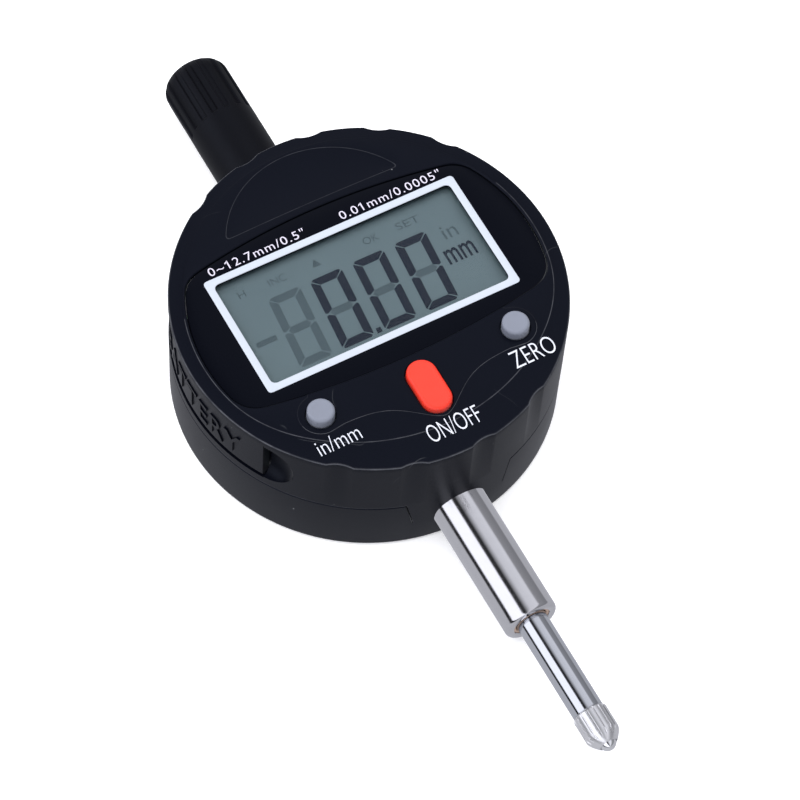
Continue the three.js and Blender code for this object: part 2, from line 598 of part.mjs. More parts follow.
// ---------------------------------------------------------------- chassis, stem and upper guide
const PIN_SLOT = 0.8; // half height of the slot that the guide pin runs in
function chassis() {
  const { near, far, half, top } = LUG;
  const [zLow, zWall] = [LEDGE_Z, AXIS_Z + LUG.wall];
  const wall = (side) => {
    const xs = [side * (half - CHASSIS_WALL), side * half].sort((a, b) => a - b);
    return block(...xs, -near - 1, near + 1, zLow, zWall);
  };
  const arm = (side) => {
    const xs = [side * (half - 0.5), side * (ARM_SCREW_X + ARM.beyond)].sort((a, b) => a - b);
    const rough = block(...xs, -ARM.half, ARM.half, ARM_Z, ARM_Z + ARM.t);
    return cut(rough, disc(SMALL_SCREW.r + GAP, 0, SPLIT_Z, side * ARM_SCREW_X, 0, 12));
  };
  const lugs = [-1, 1].map((side) => {
    const ys = [side * near, side * far].sort((a, b) => a - b);
    return block(-half, half, ...ys, zLow, top);
  });
  const frame = join(lugs[0], lugs[1], wall(1), wall(-1), arm(1), arm(-1));
  const [slotFrom, slotTo] = [PIN_Y - PIN_SLOT - 0.1, PIN_Y + TRAVEL + PIN_SLOT + 0.1];
  const [slotLow, slotHigh] = [AXIS_Z - PIN_SLOT, AXIS_Z + PIN_SLOT];
  const pinSlot = block(half - CHASSIS_WALL - 1, half + 1, slotFrom, slotTo, slotLow, slotHigh);
  return cut(frame, rod(SHANK_R + GAP, -CASE_R, CASE_R), pinSlot);
}
add("chassis", chassis(), ZINC);
armScrews.forEach(([x, y], i) => {
  const top = ARM_Z + ARM.t + GAP;
  const head = disc(SMALL_SCREW.head_r, top, top + SMALL_SCREW.head_t, x, y, 12);
  const shank = disc(SMALL_SCREW.r, LEDGE_Z + GAP, top + SMALL_SCREW.head_t / 2, x, y, 8);
  add(`chassis_screw_${i + 1}`, join(head, shank), STEEL);
});

// A stepped tube with a bush seat in its outer end. outer is the end outside the case.
function steppedTube(outer) {
  const way = Math.sign(outer);
  const chamfer = Math.min(0.35, (STEM_R - BUSH_SEAT_R) / 2);
  const seat = outer - way * (BUSH_LENGTH + GAP);
  const profile = [
    [SHANK_R, way * SHOULDER_Y],
    [STEM_R, way * SHOULDER_Y],
    [STEM_R, outer - way * chamfer],
    [STEM_R - chamfer, outer],
    [BUSH_SEAT_R, outer],
    [BUSH_SEAT_R, seat],
    [CLEAR_BORE_R, seat],
    [CLEAR_BORE_R, way * (LUG.near + GAP)],
    [SHANK_R, way * (LUG.near + GAP)],
  ];
  return turned([...profile, profile[0]], 24);
}
function bush(outer) {
  const way = Math.sign(outer);
  const [near, far] = [outer - way * (BUSH_LENGTH + BUSH_SUNK), outer - way * BUSH_SUNK];
  const profile = [
    [BUSH_BORE_R, near],
    [BUSH_R, near],
    [BUSH_R, far],
    [BUSH_BORE_R, far],
  ];
  return turned([...profile, profile[0]], 24);
}
const GUIDE_END = CASE_R + GUIDE_LENGTH;
add("stem", steppedTube(STEM_END), STEEL);
add("lower_bush", bush(STEM_END), BRONZE);
add("upper_guide", steppedTube(GUIDE_END), STEEL);
add("upper_bush", bush(GUIDE_END), BRONZE);

// ---------------------------------------------------------------- dust cap
function dustCap() {
  const boreR = SPINDLE_R + 0.65;
  const [over, above] = [STEM_R + GAP, GUIDE_END + 0.7];
  const round = CAP_ROUND;
  const shoulder = [0, 0.3, 0.6, 0.85, 1].map((t) => {
    const a = (t * Math.PI) / 2;
    return [CAP_R - round * (1 - Math.cos(a)), CAP_END - round * (1 - Math.sin(a))];
  });
  let cap = turned(
    [
      [0, CAP_END - CAP_CEILING],
      [boreR, CAP_END - CAP_CEILING],
      [boreR, above],
      [over, above],
      [over, CAP_START],
      [CAP_R, CAP_START],
      ...shoulder,
      [0, CAP_END],
    ],
    48,
  );
  for (let i = 0; i < CAP_FLUTES; i++) {
    const a = ((i + 0.35) * 2 * Math.PI) / CAP_FLUTES;
    const [x, z] = [Math.sin(a) * (CAP_R + FLUTE_OFF), AXIS_Z + Math.cos(a) * (CAP_R + FLUTE_OFF)];
    cap = cut(cap, rod(FLUTE_R, CAP_END - CAP_FLUTED, CAP_END + 1, x, z, 6));
  }
  return cap;
}
add("dust_cap", dustCap(), BLACK_PLASTIC);

// ---------------------------------------------------------------- spindle and what it carries
const THREAD_R = 1.1;
const THREAD_LENGTH = 5.2;
const spindleHole = rod(THREAD_R + GAP, SPINDLE_END - 1, SPINDLE_END + THREAD_LENGTH + 1, 0, AXIS_Z, 16);
add("spindle", cut(rod(SPINDLE_R, SPINDLE_END, SPINDLE_TOP), spindleHole), STEEL);

const SHOULDER = SPINDLE_END - GAP; // of the contact point
const RIM = SHOULDER - POINT_LENGTH + GAP;
const BALL_Y = RIM - BALL_PROUD + BALL_R;
function contactPoint() {
  const cupR = BALL_R + GAP;
  const collarR = SPINDLE_R + 0.25;
  const mouth = Math.acos((BALL_Y - RIM) / cupR);
  const cup = [1, 0.75, 0.5, 0.25, 0].map((t) => {
    const a = Math.PI - (Math.PI - (Math.PI / 2 + (Math.PI / 2 - mouth))) * t;
    return [cupR * Math.sin(a), BALL_Y - cupR * Math.cos(a)];
  });
  let point = turned(
    [
      [0, SPINDLE_END + THREAD_LENGTH],
      [THREAD_R, SPINDLE_END + THREAD_LENGTH],
      [THREAD_R, SHOULDER],
      [collarR, SHOULDER],
      [collarR, SHOULDER - 3.4],
      [BALL_R + 0.5, RIM],
      [cupR * Math.sin(mouth), RIM],
      ...cup.slice(1),
    ],
    32,
  );
  const flutes = 16;
  for (let i = 0; i < flutes; i++) {
    const a = (i * 2 * Math.PI) / flutes;
    const [x, z] = [Math.sin(a) * (collarR + 0.1), AXIS_Z + Math.cos(a) * (collarR + 0.1)];
    point = cut(point, rod(0.28, RIM, SHOULDER - 0.4, x, z, 6));
  }
  return point;
}
add("contact_point", contactPoint(), STEEL);
add("contact_ball", solid(new THREE.SphereGeometry(BALL_R, 14, 8).translate(0, BALL_Y, AXIS_Z)), STEEL);

function scaleCarrier() {
  const { half, length } = CARRIER;
  const low = COVER_T + 2 * GAP;
  const rough = block(-half, half, CARRIER_Y, CARRIER_Y + length, low, LUG.top);
  return cut(
    rough,
    rod(SPINDLE_R + GAP, CARRIER_Y - 1, CARRIER_Y + length + 1),
    crossRod(SMALL_SCREW.r + GAP, -half - 1, 0, PIN_Y),
    crossRod(PIN_R + GAP, 0, half + 1, PIN_Y),
  );
}
add("scale_carrier", scaleCarrier(), ZINC);
add(
  "carrier_set_screw",
  crossRod(SMALL_SCREW.r, -CARRIER.half + 0.1, -SPINDLE_R - GAP, PIN_Y),
  STEEL,
);
add("guide_pin", crossRod(PIN_R, SPINDLE_R + GAP, LUG.half - 0.2, PIN_Y), STEEL);
add(
  "scale_strip",
  block(-STRIP.half, STRIP.half, CARRIER_Y, CARRIER_Y + STRIP.length, STRIP_Z, STRIP_Z + STRIP.t),
  BOARD_GREEN,
);
add(
  "bumper_washer",
  cut(
    rod(BUMPER_R, -LUG.near + GAP, -LUG.near + GAP + BUMPER_T),
    rod(SPINDLE_R + GAP, -LUG.near, 0),
  ),
  RUBBER,
);

// The spring runs in a helix from the carrier to the upper lug.
class SpringCurve extends THREE.Curve {
  getPoint(t, target = new THREE.Vector3()) {
    const from = CARRIER_Y + CARRIER.length + SPRING.wire_r + GAP;
    const to = LUG.near - SPRING.wire_r - GAP;
    const a = t * SPRING.turns * 2 * Math.PI;
    return target.set(SPRING_R * Math.cos(a), from + (to - from) * t, AXIS_Z + SPRING_R * Math.sin(a));
  }
}
function returnSpring() {
  const wire = new THREE.Shape();
  wire.absarc(0, 0, SPRING.wire_r, 0, 2 * Math.PI, false);
  const settings = { steps: SPRING.turns * 10, curveSegments: 3, extrudePath: new SpringCurve() };
  return solid(new THREE.ExtrudeGeometry(wire, settings));
}
add("return_spring", returnSpring(), STEEL);

export default indicator;
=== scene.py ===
"""Digital dial indicator lying on its back: the fine surfaces, the lettering, the materials and the studio.

Sizes are in millimetres and become metres where a mesh is made. The frame is the CAD one: the origin is the
centre of the round back, +Z comes out of the display, and the spindle runs along Y with its point at -Y.
"""

import bmesh
import bpy
import json
import numpy as np
from mathutils import Matrix, Vector
from mathutils.geometry import delaunay_2d_cdt


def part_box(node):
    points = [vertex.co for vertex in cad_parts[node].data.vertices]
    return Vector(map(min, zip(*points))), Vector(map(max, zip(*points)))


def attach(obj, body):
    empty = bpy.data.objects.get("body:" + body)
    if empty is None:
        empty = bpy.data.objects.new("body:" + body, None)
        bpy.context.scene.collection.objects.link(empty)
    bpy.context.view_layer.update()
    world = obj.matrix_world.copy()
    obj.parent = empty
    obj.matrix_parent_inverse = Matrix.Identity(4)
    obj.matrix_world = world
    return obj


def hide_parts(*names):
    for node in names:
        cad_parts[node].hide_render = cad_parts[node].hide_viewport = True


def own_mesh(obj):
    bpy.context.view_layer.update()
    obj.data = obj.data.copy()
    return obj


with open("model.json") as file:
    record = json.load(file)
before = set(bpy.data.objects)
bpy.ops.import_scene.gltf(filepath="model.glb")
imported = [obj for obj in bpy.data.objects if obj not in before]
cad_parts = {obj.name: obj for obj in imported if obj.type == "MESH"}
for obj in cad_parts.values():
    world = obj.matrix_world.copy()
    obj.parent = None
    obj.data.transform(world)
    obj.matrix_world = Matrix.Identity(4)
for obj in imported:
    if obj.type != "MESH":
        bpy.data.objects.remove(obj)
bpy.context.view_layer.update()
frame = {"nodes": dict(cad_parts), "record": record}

MM = 0.001
TAU = 2 * np.pi


def span(node):
    """The lowest and highest corner of a CAD node, in millimetres."""
    low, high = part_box(node)
    return np.array(low) / MM, np.array(high) / MM


# ---------------------------------------------------------------- sizes taken from the frame
stem_low, stem_high = span("stem")
spindle_low, spindle_high = span("spindle")
drawer_low, drawer_high = span("battery_drawer")
plate_low, plate_high = span("label_plate")
glass_low, glass_high = span("lcd_glass")
cover_high = span("back_cover")[1]

CASE_R, _, FACE_Z = span("front_shell")[1]
SPLIT_Z = span("back_shell")[1][2]
AXIS_Z = (stem_low[2] + stem_high[2]) / 2
INNER_R = CASE_R - 1.8  # inside of the case's wall
CEILING_Z = FACE_Z - 2.1  # under the face
SEAM = 0.13  # the visible line between the two shells
LIP = 0.12  # rounding of the edges along it
RIM = 0.32  # radius of the edge round the face
PLATE_TOP = plate_high[2]
DRAWER_Z, DRAWER_TOP = drawer_low[2], drawer_high[2]
DISPLAY_Z = glass_high[2] + 0.01  # of the liquid crystal
INK_Z = PLATE_TOP + 0.002

# ---------------------------------------------------------------- camera
camera = bpy.data.objects.new("camera", bpy.data.cameras.new("camera"))
bpy.context.scene.collection.objects.link(camera)
right = Vector((0.87569, -0.48091, 0.04343))
up = Vector((0.39747, 0.76898, 0.50069))
back = right.cross(up).normalized()
up = back.cross(right).normalized()
camera.matrix_world = Matrix.Translation(Vector((-0.13936, -0.22419, 0.44718))) @ Matrix(
    (right, up, back)
).transposed().to_4x4()
camera.data.sensor_width = 36
camera.data.lens = 162
camera.data.clip_start = 0.01
camera.data.clip_end = 20
bpy.context.scene.camera = camera


# ---------------------------------------------------------------- shader expressions
class Value:
    """A shader socket in an expression. Each operator adds one Math node."""

    def __init__(self, shader, socket):
        self.shader = shader
        self.socket = socket

    def math(self, operation, *others, clamp=False):
        settings = {"operation": operation, "use_clamp": clamp}
        return self.shader.node("ShaderNodeMath", settings, self, *others)

    def __add__(self, other):
        return self.math("ADD", other)

    __radd__ = __add__

    def __mul__(self, other):
        return self.math("MULTIPLY", other)

    __rmul__ = __mul__

    def __sub__(self, other):
        return self.math("SUBTRACT", other)

    def __rsub__(self, other):
        return (self * -1.0) + other

    def clipped(self):
        """The value held between 0 and 1."""
        return self.math("ADD", 0.0, clamp=True)


class Shader:
    """One material. node() is the only way a node is added."""

    def __init__(self, name):
        self.material = bpy.data.materials.new(name)
        self.material.use_nodes = True
        self.tree = self.material.node_tree
        self.tree.nodes.clear()
        self.output = self.tree.nodes.new("ShaderNodeOutputMaterial")
        self.place = self.node("ShaderNodeTexCoord", {}, out="Object")

    def node(self, kind, settings, *inputs, out=0, **named):
        """Adds a node, sets its settings, then fills its sockets by order or by name, with _ for a space."""
        made = self.tree.nodes.new(kind)
        for key, value in settings.items():
            if key == "stops":
                for stop, (position, colour) in zip(self.stops(made, len(value)), value):
                    stop.position = position
                    stop.color = colour
            else:
                setattr(made, key, value)
        sockets = list(zip(made.inputs, inputs))
        for name, value in named.items():
            sockets.append((self.find(made, name), value))
        for socket, value in sockets:
            if isinstance(value, Value):
                self.tree.links.new(value.socket, socket)
            else:
                socket.default_value = value
        wanted = made.outputs[out] if made.outputs else None
        return Value(self, wanted)

    @staticmethod
    def find(made, name):
        """A socket by its name, or by its number when it is called input0, input1 and so on."""
        if name[-1].isdigit() and name.startswith("input"):
            return made.inputs[int(name[5:])]
        return made.inputs[name.replace("_", " ")]

    @staticmethod
    def stops(made, count):
        """The stops of a colour ramp, as many as are asked for."""
        ramp = made.color_ramp
        while len(ramp.elements) < count:
            ramp.elements.new(0.5)
        return ramp.elements

    def noise(self, scale, detail=2.0, roughness=0.5, stretch=None):
        """Noise in object space; scale is in cells per metre."""
        place = self.place
        if stretch is not None:
            place = self.node("ShaderNodeMapping", {}, place, Scale=stretch)
        return self.node(
            "ShaderNodeTexNoise", {}, Vector=place, Scale=scale, Detail=detail, Roughness=roughness
        )

    def cells(self, scale):
        """Distance to the nearest of scattered points, in cells; scale is in cells per metre."""
        return self.node("ShaderNodeTexVoronoi", {}, Vector=self.place, Scale=scale, out="Distance")

    def fade(self, value, low, high):
        """0 below low, 1 above high, straight between."""
        return self.node(
            "ShaderNodeMapRange", {"clamp": True}, value, From_Min=low, From_Max=high, To_Min=0.0, To_Max=1.0
        )

    def mix(self, factor, first, second):
        """Mixes two colours."""
        return self.node(
            "ShaderNodeMix", {"data_type": "RGBA"}, input0=factor, input6=first, input7=second, out=2
        )

    def bump(self, height, strength, distance):
        """distance is in metres."""
        return self.node(
            "ShaderNodeBump", {}, Height=height, Strength=strength, Distance=distance, out="Normal"
        )

    def finish(self, surface):
        """Joins the surface to the output and gives the material back."""
        self.tree.links.new(surface.socket, self.output.inputs["Surface"])
        return self.material

    def principled(self, colour, **named):
        return self.node("ShaderNodeBsdfPrincipled", {}, Base_Color=colour, **named)


def grey(level):
    return (level, level, level, 1.0)


def darker(colour, share):
    """A colour times a share; a share over 1 makes it lighter."""
    return tuple(share * c for c in colour[:3]) + (1.0,)


SKY_TINT = (0.72, 0.80, 1.0, 1.0)  # the faint blue of what black plastic reflects
# painted highlight: the lighter grey laid along the front shell's edges and step lines in place of the light
# they catch
PAINTED_HIGHLIGHT_COLOUR = (0.105, 0.108, 0.120, 1.0)


def moulded(name, colour, dust, rough=0.37, specular=0.13):
    """Moulded plastic: fine satin grain, faint cloudiness, a few dust specks and hair scratches, and a
    painted highlight, broken up by noise, along the edges whose points store one.
    """
    s = Shader(name)
    cloud = s.noise(90, 3.0)
    grains = s.noise(9000, 2.0)
    spot = 1.0 - s.fade(s.cells(420), 0.03, 0.055)
    chosen = s.fade(s.noise(260, 1.0), 0.56, 0.58)
    hair = 1.0 - s.fade((s.noise(70, 1.0) - 0.5).math("ABSOLUTE"), 0.0006, 0.0022)
    hair = hair * s.fade(s.noise(150, 1.0), 0.60, 0.66) * 0.16
    mark = (spot * chosen + hair).clipped() * 0.8
    # painted highlight: lightens the colour by the amount each point stores, broken up by noise
    rub = s.node("ShaderNodeAttribute", {"attribute_name": "rub"}, out="Fac")
    rub = rub * (s.fade(s.noise(500, 3.0), 0.32, 0.62) * 0.55 + 0.45)
    base = s.mix(cloud * 0.35, colour, darker(colour, 0.65))
    base = s.mix(rub.clipped(), base, PAINTED_HIGHLIGHT_COLOUR)
    base = s.mix(mark, base, dust)
    roughness = cloud * 0.10 + (rough - 0.05) + mark * 0.3
    height = grains + s.noise(2600, 2.0) * 0.6
    return s.finish(
        s.principled(
            base,
            Roughness=roughness,
            Normal=s.bump(height, 0.35, 0.00002),
            Specular_IOR_Level=specular,
            Specular_Tint=SKY_TINT,
        )
    )


def glossy_plate(name, colour):
    """Printed plate under a hard gloss coat, with faint waviness and dust."""
    s = Shader(name)
    wave = s.noise(120, 2.0)
    spot = 1.0 - s.fade(s.cells(500), 0.03, 0.05)
    chosen = s.fade(s.noise(300, 1.0), 0.63, 0.65)
    mark = spot * chosen * 0.35
    base = s.mix(mark, colour, grey(0.25))
    return s.finish(
        s.principled(
            base,
            Roughness=wave * 0.06 + 0.13 + mark,
            Normal=s.bump(s.noise(1500, 1.0), 0.08, 0.00001),
            Specular_IOR_Level=0.08,
            Specular_Tint=SKY_TINT,
        )
    )


def print_ink(name, colour):
    """Screen-printed ink, slightly uneven."""
    s = Shader(name)
    uneven = s.noise(3000, 2.0)
    base = s.mix(uneven * 0.25, colour, darker(colour, 0.86))
    return s.finish(
        s.principled(base, Roughness=uneven * 0.1 + 0.4, Normal=s.bump(uneven, 0.15, 0.00001))
    )


def key_plastic(name, colour, shade, rough=0.38, glow=0.0):
    """Coloured key plastic with a fine grain; glow is how much light passes under its skin."""
    s = Shader(name)
    cloud = s.noise(500, 3.0)
    base = s.mix(cloud * 0.4, colour, shade)
    return s.finish(
        s.principled(
            base,
            Roughness=cloud * 0.1 + rough,
            Normal=s.bump(s.noise(8000, 2.0), 0.2, 0.00002),
            Subsurface_Weight=glow,
            Subsurface_Scale=0.001,
            Specular_IOR_Level=0.4,
        )
    )


def polished(name, colour, rough, turned):
    """Ground steel: lathe marks run round the Y axis, with fine wear; turned is their depth in metres."""
    s = Shader(name)
    rings = s.noise(1.0, 3.0, 0.6, stretch=(900.0, 14000.0, 900.0))
    wear = s.noise(700, 4.0)
    streak = s.noise(1.0, 3.0, 0.6, stretch=(5000.0, 160.0, 5000.0))
    base = s.mix(wear * 0.35, colour, darker(colour, 0.82))
    roughness = wear * 0.10 + streak * 0.06 + (rough - 0.06)
    return s.finish(
        s.principled(base, Metallic=1.0, Roughness=roughness, Normal=s.bump(rings, 0.5, turned))
    )


def cast_metal(name, colour, rough, metallic=1.0, grain=0.00004):
    """Unpolished skin with cloudy patches; grain is the depth of its roughness in metres."""
    s = Shader(name)
    skin = s.noise(2500, 4.0)
    cloud = s.noise(220, 3.0)
    base = s.mix(cloud * 0.5, colour, darker(colour, 0.7))
    return s.finish(
        s.principled(
            base, Metallic=metallic, Roughness=skin * 0.15 + rough, Normal=s.bump(skin, 0.4, grain)
        )
    )


def circuit_board(name):
    """Green solder mask over copper tracks, which are the lighter joints of a brick pattern."""
    s = Shader(name)
    tracks = s.node(
        "ShaderNodeTexBrick",
        {"offset": 0.5},
        Vector=s.place,
        Color1=grey(0.0),
        Color2=grey(0.0),
        Mortar=grey(1.0),
        Scale=900.0,
        Mortar_Size=0.05,
        out="Fac",
    )
    base = s.mix(tracks, (0.012, 0.10, 0.035, 1.0), (0.03, 0.19, 0.07, 1.0))
    return s.finish(
        s.principled(base, Roughness=s.noise(800) * 0.1 + 0.3, Normal=s.bump(tracks, 0.4, 0.00003))
    )


def display_back(name):
    """The display's grey-green reflector, slightly cloudy with a very fine sparkle."""
    s = Shader(name)
    cloud = s.noise(60, 2.0)
    sparkle = s.noise(9000, 1.0)
    base = s.mix(cloud, (0.080, 0.116, 0.131, 1.0), (0.098, 0.139, 0.153, 1.0))
    base = s.mix(sparkle * 0.12, base, (0.14, 0.19, 0.20, 1.0))
    return s.finish(
        s.principled(
            base,
            Roughness=sparkle * 0.1 + 0.42,
            Specular_IOR_Level=0.15,
            Normal=s.bump(sparkle, 0.1, 0.00001),
        )
    )


def segment_ink(name, colour, alpha):
    """Liquid crystal: dark where it is on, barely seen where it is off."""
    s = Shader(name)
    uneven = s.noise(1500, 2.0)
    base = s.mix(uneven * 0.3, colour, darker(colour, 1.25))
    ink = s.principled(base, Roughness=uneven * 0.1 + 0.4, Specular_IOR_Level=0.1)
    clear = s.node("ShaderNodeBsdfTransparent", {})
    return s.finish(s.node("ShaderNodeMixShader", {}, uneven * 0.04 + alpha, clear, ink))


def clear_lens(name):
    """Thin clear sheet: all it adds is a weak reflection that grows at grazing angles."""
    s = Shader(name)
    edge = s.node("ShaderNodeFresnel", {}, IOR=1.35)
    smear = s.noise(200, 2.0)
    gloss = s.principled((0.9, 0.95, 0.96, 1.0), Metallic=1.0, Roughness=smear * 0.05 + 0.05)
    clear = s.node("ShaderNodeBsdfTransparent", {}, grey(0.97))
    return s.finish(s.node("ShaderNodeMixShader", {}, edge * 0.5, clear, gloss))


black_plastic = moulded("black_plastic", (0.0018, 0.0023, 0.0050, 1.0), (0.22, 0.23, 0.24, 1.0))
cap_plastic = moulded("cap_plastic", (0.0028, 0.0028, 0.0038, 1.0), (0.10, 0.10, 0.11, 1.0), 0.5, 0.14)
label_black = glossy_plate("label_black", (0.0012, 0.0015, 0.0032, 1.0))
white_ink = print_ink("white_ink", (0.62, 0.64, 0.70, 1.0))
label_ink = print_ink("label_ink", (0.60, 0.57, 0.66, 1.0))
frame_ink = print_ink("frame_ink", (0.47, 0.51, 0.57, 1.0))
grey_key = key_plastic("grey_key", (0.185, 0.200, 0.245, 1.0), (0.160, 0.172, 0.212, 1.0))
red_key = key_plastic("red_key", (0.80, 0.040, 0.020, 1.0), (0.70, 0.03, 0.015, 1.0), 0.36, 0.04)
stem_steel = polished("stem_steel", (0.68, 0.675, 0.69, 1.0), 0.10, 0.000004)
spindle_chrome = polished("spindle_chrome", (0.62, 0.635, 0.67, 1.0), 0.085, 0.000002)
point_steel = polished("point_steel", (0.86, 0.855, 0.86, 1.0), 0.27, 0.000001)
ball_steel = polished("ball_steel", (0.85, 0.85, 0.86, 1.0), 0.08, 0.0000003)
bronze = polished("bronze", (0.78, 0.56, 0.42, 1.0), 0.30, 0.000004)
screw_steel = cast_metal("screw_steel", (0.50, 0.50, 0.51, 1.0), 0.24, 1.0, 0.00001)
spring_steel = cast_metal("spring_steel", (0.45, 0.45, 0.46, 1.0), 0.25, 1.0, 0.00001)
contact_brass = cast_metal("contact_brass", (0.78, 0.58, 0.26, 1.0), 0.25, 1.0, 0.00001)
zinc = cast_metal("zinc", (0.48, 0.49, 0.51, 1.0), 0.42)
cell_steel = cast_metal("cell_steel", (0.66, 0.66, 0.67, 1.0), 0.22, 1.0, 0.00001)
chip_resin = cast_metal("chip_resin", (0.015, 0.015, 0.018, 1.0), 0.45, 0.0)
rubber = cast_metal("rubber", (0.012, 0.012, 0.013, 1.0), 0.65, 0.0)
board_green = circuit_board("board_green")
display_grey = display_back("display_grey")
segment_on = segment_ink("segment_on", (0.006, 0.010, 0.020, 1.0), 0.97)
segment_off = segment_ink("segment_off", (0.02, 0.037, 0.06, 1.0), 0.105)
lens_clear = clear_lens("lens_clear")

SLOT_MATERIALS = {
    "black_plastic": black_plastic,
    "cap_plastic": cap_plastic,
    "label_print": label_black,
    "clear_lens": lens_clear,
    "lcd": display_grey,
    "grey_plastic": grey_key,
    "red_plastic": red_key,
    "steel": stem_steel,
    "screw_steel": screw_steel,
    "spring_steel": spring_steel,
    "bronze": bronze,
    "contact_brass": contact_brass,
    "zinc": zinc,
    "board": board_green,
    "chip": chip_resin,
    "cell_steel": cell_steel,
    "rubber": rubber,
}
for part in frame["record"]["subparts"]:
    node = frame["nodes"][part["node"]]
    node.data.materials.clear()
    node.data.materials.append(SLOT_MATERIALS[part["material_slot"]])


# ---------------------------------------------------------------- meshes
def piece(name, shape, material, body, node=None, smooth=35.0):
    """A mesh object from (points in millimetres, faces), which stands for the CAD node that is named.

    Edges sharper than smooth degrees stay crisp.
    """
    points, faces = shape
    mesh = bpy.data.meshes.new(name)
    mesh.from_pydata((points * MM).tolist(), [], faces)
    mesh.validate()
    mesh.update()
    weld(mesh)
    made = bpy.data.objects.new(name, mesh)
    bpy.context.scene.collection.objects.link(made)
    dress(made, material, smooth)
    if body:
        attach(made, body)
    if node:
        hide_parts(node)
    return made


def weld(mesh):
    """Merges doubled points and turns the faces of a closed shape outwards."""
    bm = bmesh.new()
    bm.from_mesh(mesh)
    bmesh.ops.remove_doubles(bm, verts=bm.verts, dist=2e-7)
    bmesh.ops.dissolve_degenerate(bm, edges=bm.edges, dist=1e-8)
    bmesh.ops.recalc_face_normals(bm, faces=bm.faces)
    bm.to_mesh(mesh)
    bm.free()


def dress(made, material, smooth):
    """Gives a mesh its material and its crisp edges."""
    mesh = made.data
    mesh.materials.clear()
    mesh.materials.append(material)
    mesh.polygons.foreach_set("use_smooth", np.ones(len(mesh.polygons), bool))
    mesh.set_sharp_from_angle(angle=np.radians(smooth))


def rub(made, amount):
    """Stores on each point how much painted highlight it gets; amount(x, y, z) works in millimetres."""
    mesh = made.data
    place = np.empty(len(mesh.vertices) * 3)
    mesh.vertices.foreach_get("co", place)
    x, y, z = place.reshape(-1, 3).T / MM
    values = amount(x, y, z).astype(np.float32)
    mesh.attributes.new("rub", "FLOAT", "POINT").data.foreach_set("value", values)


def near(distance, reach):
    """1 on a line and 0 from reach millimetres away."""
    return np.clip(1 - np.abs(distance) / reach, 0, 1)


def quads(rows, columns, wrap_rows, wrap_columns):
    """Quads between neighbouring points of a grid whose rows are laid end to end."""
    r = np.arange(rows if wrap_rows else rows - 1)
    c = np.arange(columns if wrap_columns else columns - 1)
    r, c = np.meshgrid(r, c, indexing="ij")
    r1, c1 = (r + 1) % rows, (c + 1) % columns
    made = np.stack([r * columns + c, r * columns + c1, r1 * columns + c1, r1 * columns + c], -1)
    return made.reshape(-1, 4).tolist()


def sheet(grid, wrap_rows=False, wrap_columns=True, capped=False):
    """A grid of points as one surface; capped closes its first and last rows with a flat face."""
    rows, columns = grid.shape[:2]
    faces = quads(rows, columns, wrap_rows, wrap_columns)
    if capped:
        faces.append(list(range(columns))[::-1])
        faces.append(list(range((rows - 1) * columns, rows * columns)))
    return grid.reshape(-1, 3), faces


def combine(parts):
    """Several surfaces as one: their points end to end, and their faces numbered to match."""
    points, faces, count = [], [], 0
    for these_points, these_faces in parts:
        points.append(these_points)
        faces += [[corner + count for corner in face] for face in these_faces]
        count += len(these_points)
    return np.concatenate(points), faces


def lifted(line, z):
    """Flat points raised to a height."""
    return np.column_stack([line, np.full(len(line), z)])


def prism(outline, *heights):
    """A flat outline at several heights, as the rows of a grid."""
    return np.stack([lifted(outline, z) for z in heights])


def turned_y(profile, sides=128, radius=None):
    """(radius, y) points turned round the spindle's axis; radius(r, y, angle) may shape each ring."""
    profile = np.asarray(profile, float)
    angle = np.linspace(0, TAU, sides, endpoint=False)[None, :]
    r, y = profile[:, :1], profile[:, 1:]
    if radius is not None:
        r = radius(r, y, angle)
    x = r * np.sin(angle)
    z = AXIS_Z + r * np.cos(angle)
    return np.stack([x, np.broadcast_to(y, x.shape), z], -1)


def turned_z(profile, sides, x=0.0, y=0.0):
    """(radius, z) points turned round an upright axis."""
    profile = np.asarray(profile, float)
    angle = np.linspace(0, TAU, sides, endpoint=False)[None, :]
    r, z = profile[:, :1], profile[:, 1:]
    px = x + r * np.cos(angle)
    return np.stack([px, y + r * np.sin(angle), np.broadcast_to(z, px.shape)], -1)


def arc(centre, radius, start, end, count):
    """Points on an arc of a profile, angles in degrees from its first axis."""
    a = np.radians(np.linspace(start, end, count))
    return np.stack([centre[0] + radius * np.cos(a), centre[1] + radius * np.sin(a)], 1)


def cutter(grid):
    """A closed solid to carve with."""
    return piece("cutter", sheet(grid, capped=True), rubber, None)


def carve(made, cutters):
    """Cuts solids out of a piece and deletes them."""
    material = made.data.materials[0]
    for solid in cutters:
        change = made.modifiers.new("carve", "BOOLEAN")
        change.operation = "DIFFERENCE"
        change.solver = "EXACT"
        change.object = solid
    bpy.context.view_layer.update()
    evaluated = made.evaluated_get(bpy.context.evaluated_depsgraph_get())
    mesh = bpy.data.meshes.new_from_object(evaluated)
    made.modifiers.clear()
    old = made.data
    made.data = mesh
    mesh.name = made.name
    bpy.data.meshes.remove(old)
    for solid in cutters:
        bpy.data.objects.remove(solid)
    dress(made, material, 35.0)
    return made


# ---------------------------------------------------------------- outlines
# Each is a signed distance in the face plane, in millimetres and below 0 inside.
LABEL_R = CASE_R - 2.5
LABEL_TOP, LABEL_TOP_R = 15.8, 100.7
LABEL_FOOT, LABEL_FOOT_R = -11.3, 122
CROWN_Y, CROWN_R = 10.35, 15.1
CROWN_FOOT, CROWN_BOW = 17.0, 0.0012
PLATEAU_Y, PLATEAU_R = 5.9, 29.0
WAVE_Y, WAVE_DEPTH, WAVE_WIDTH = -16.72, 5.2, 5.08
PANEL_HALF, PANEL_TOP = 15.3, -9.5
LOBE_X, LOBE_Y, LOBE_R = 15.25, -14.0, 3.05
VIEW_Y, VIEW_HALF_X, VIEW_HALF_Y = 2.1, 18.75, 8.9  # the window
REACH = 32.0  # no outline is further than this from its centre


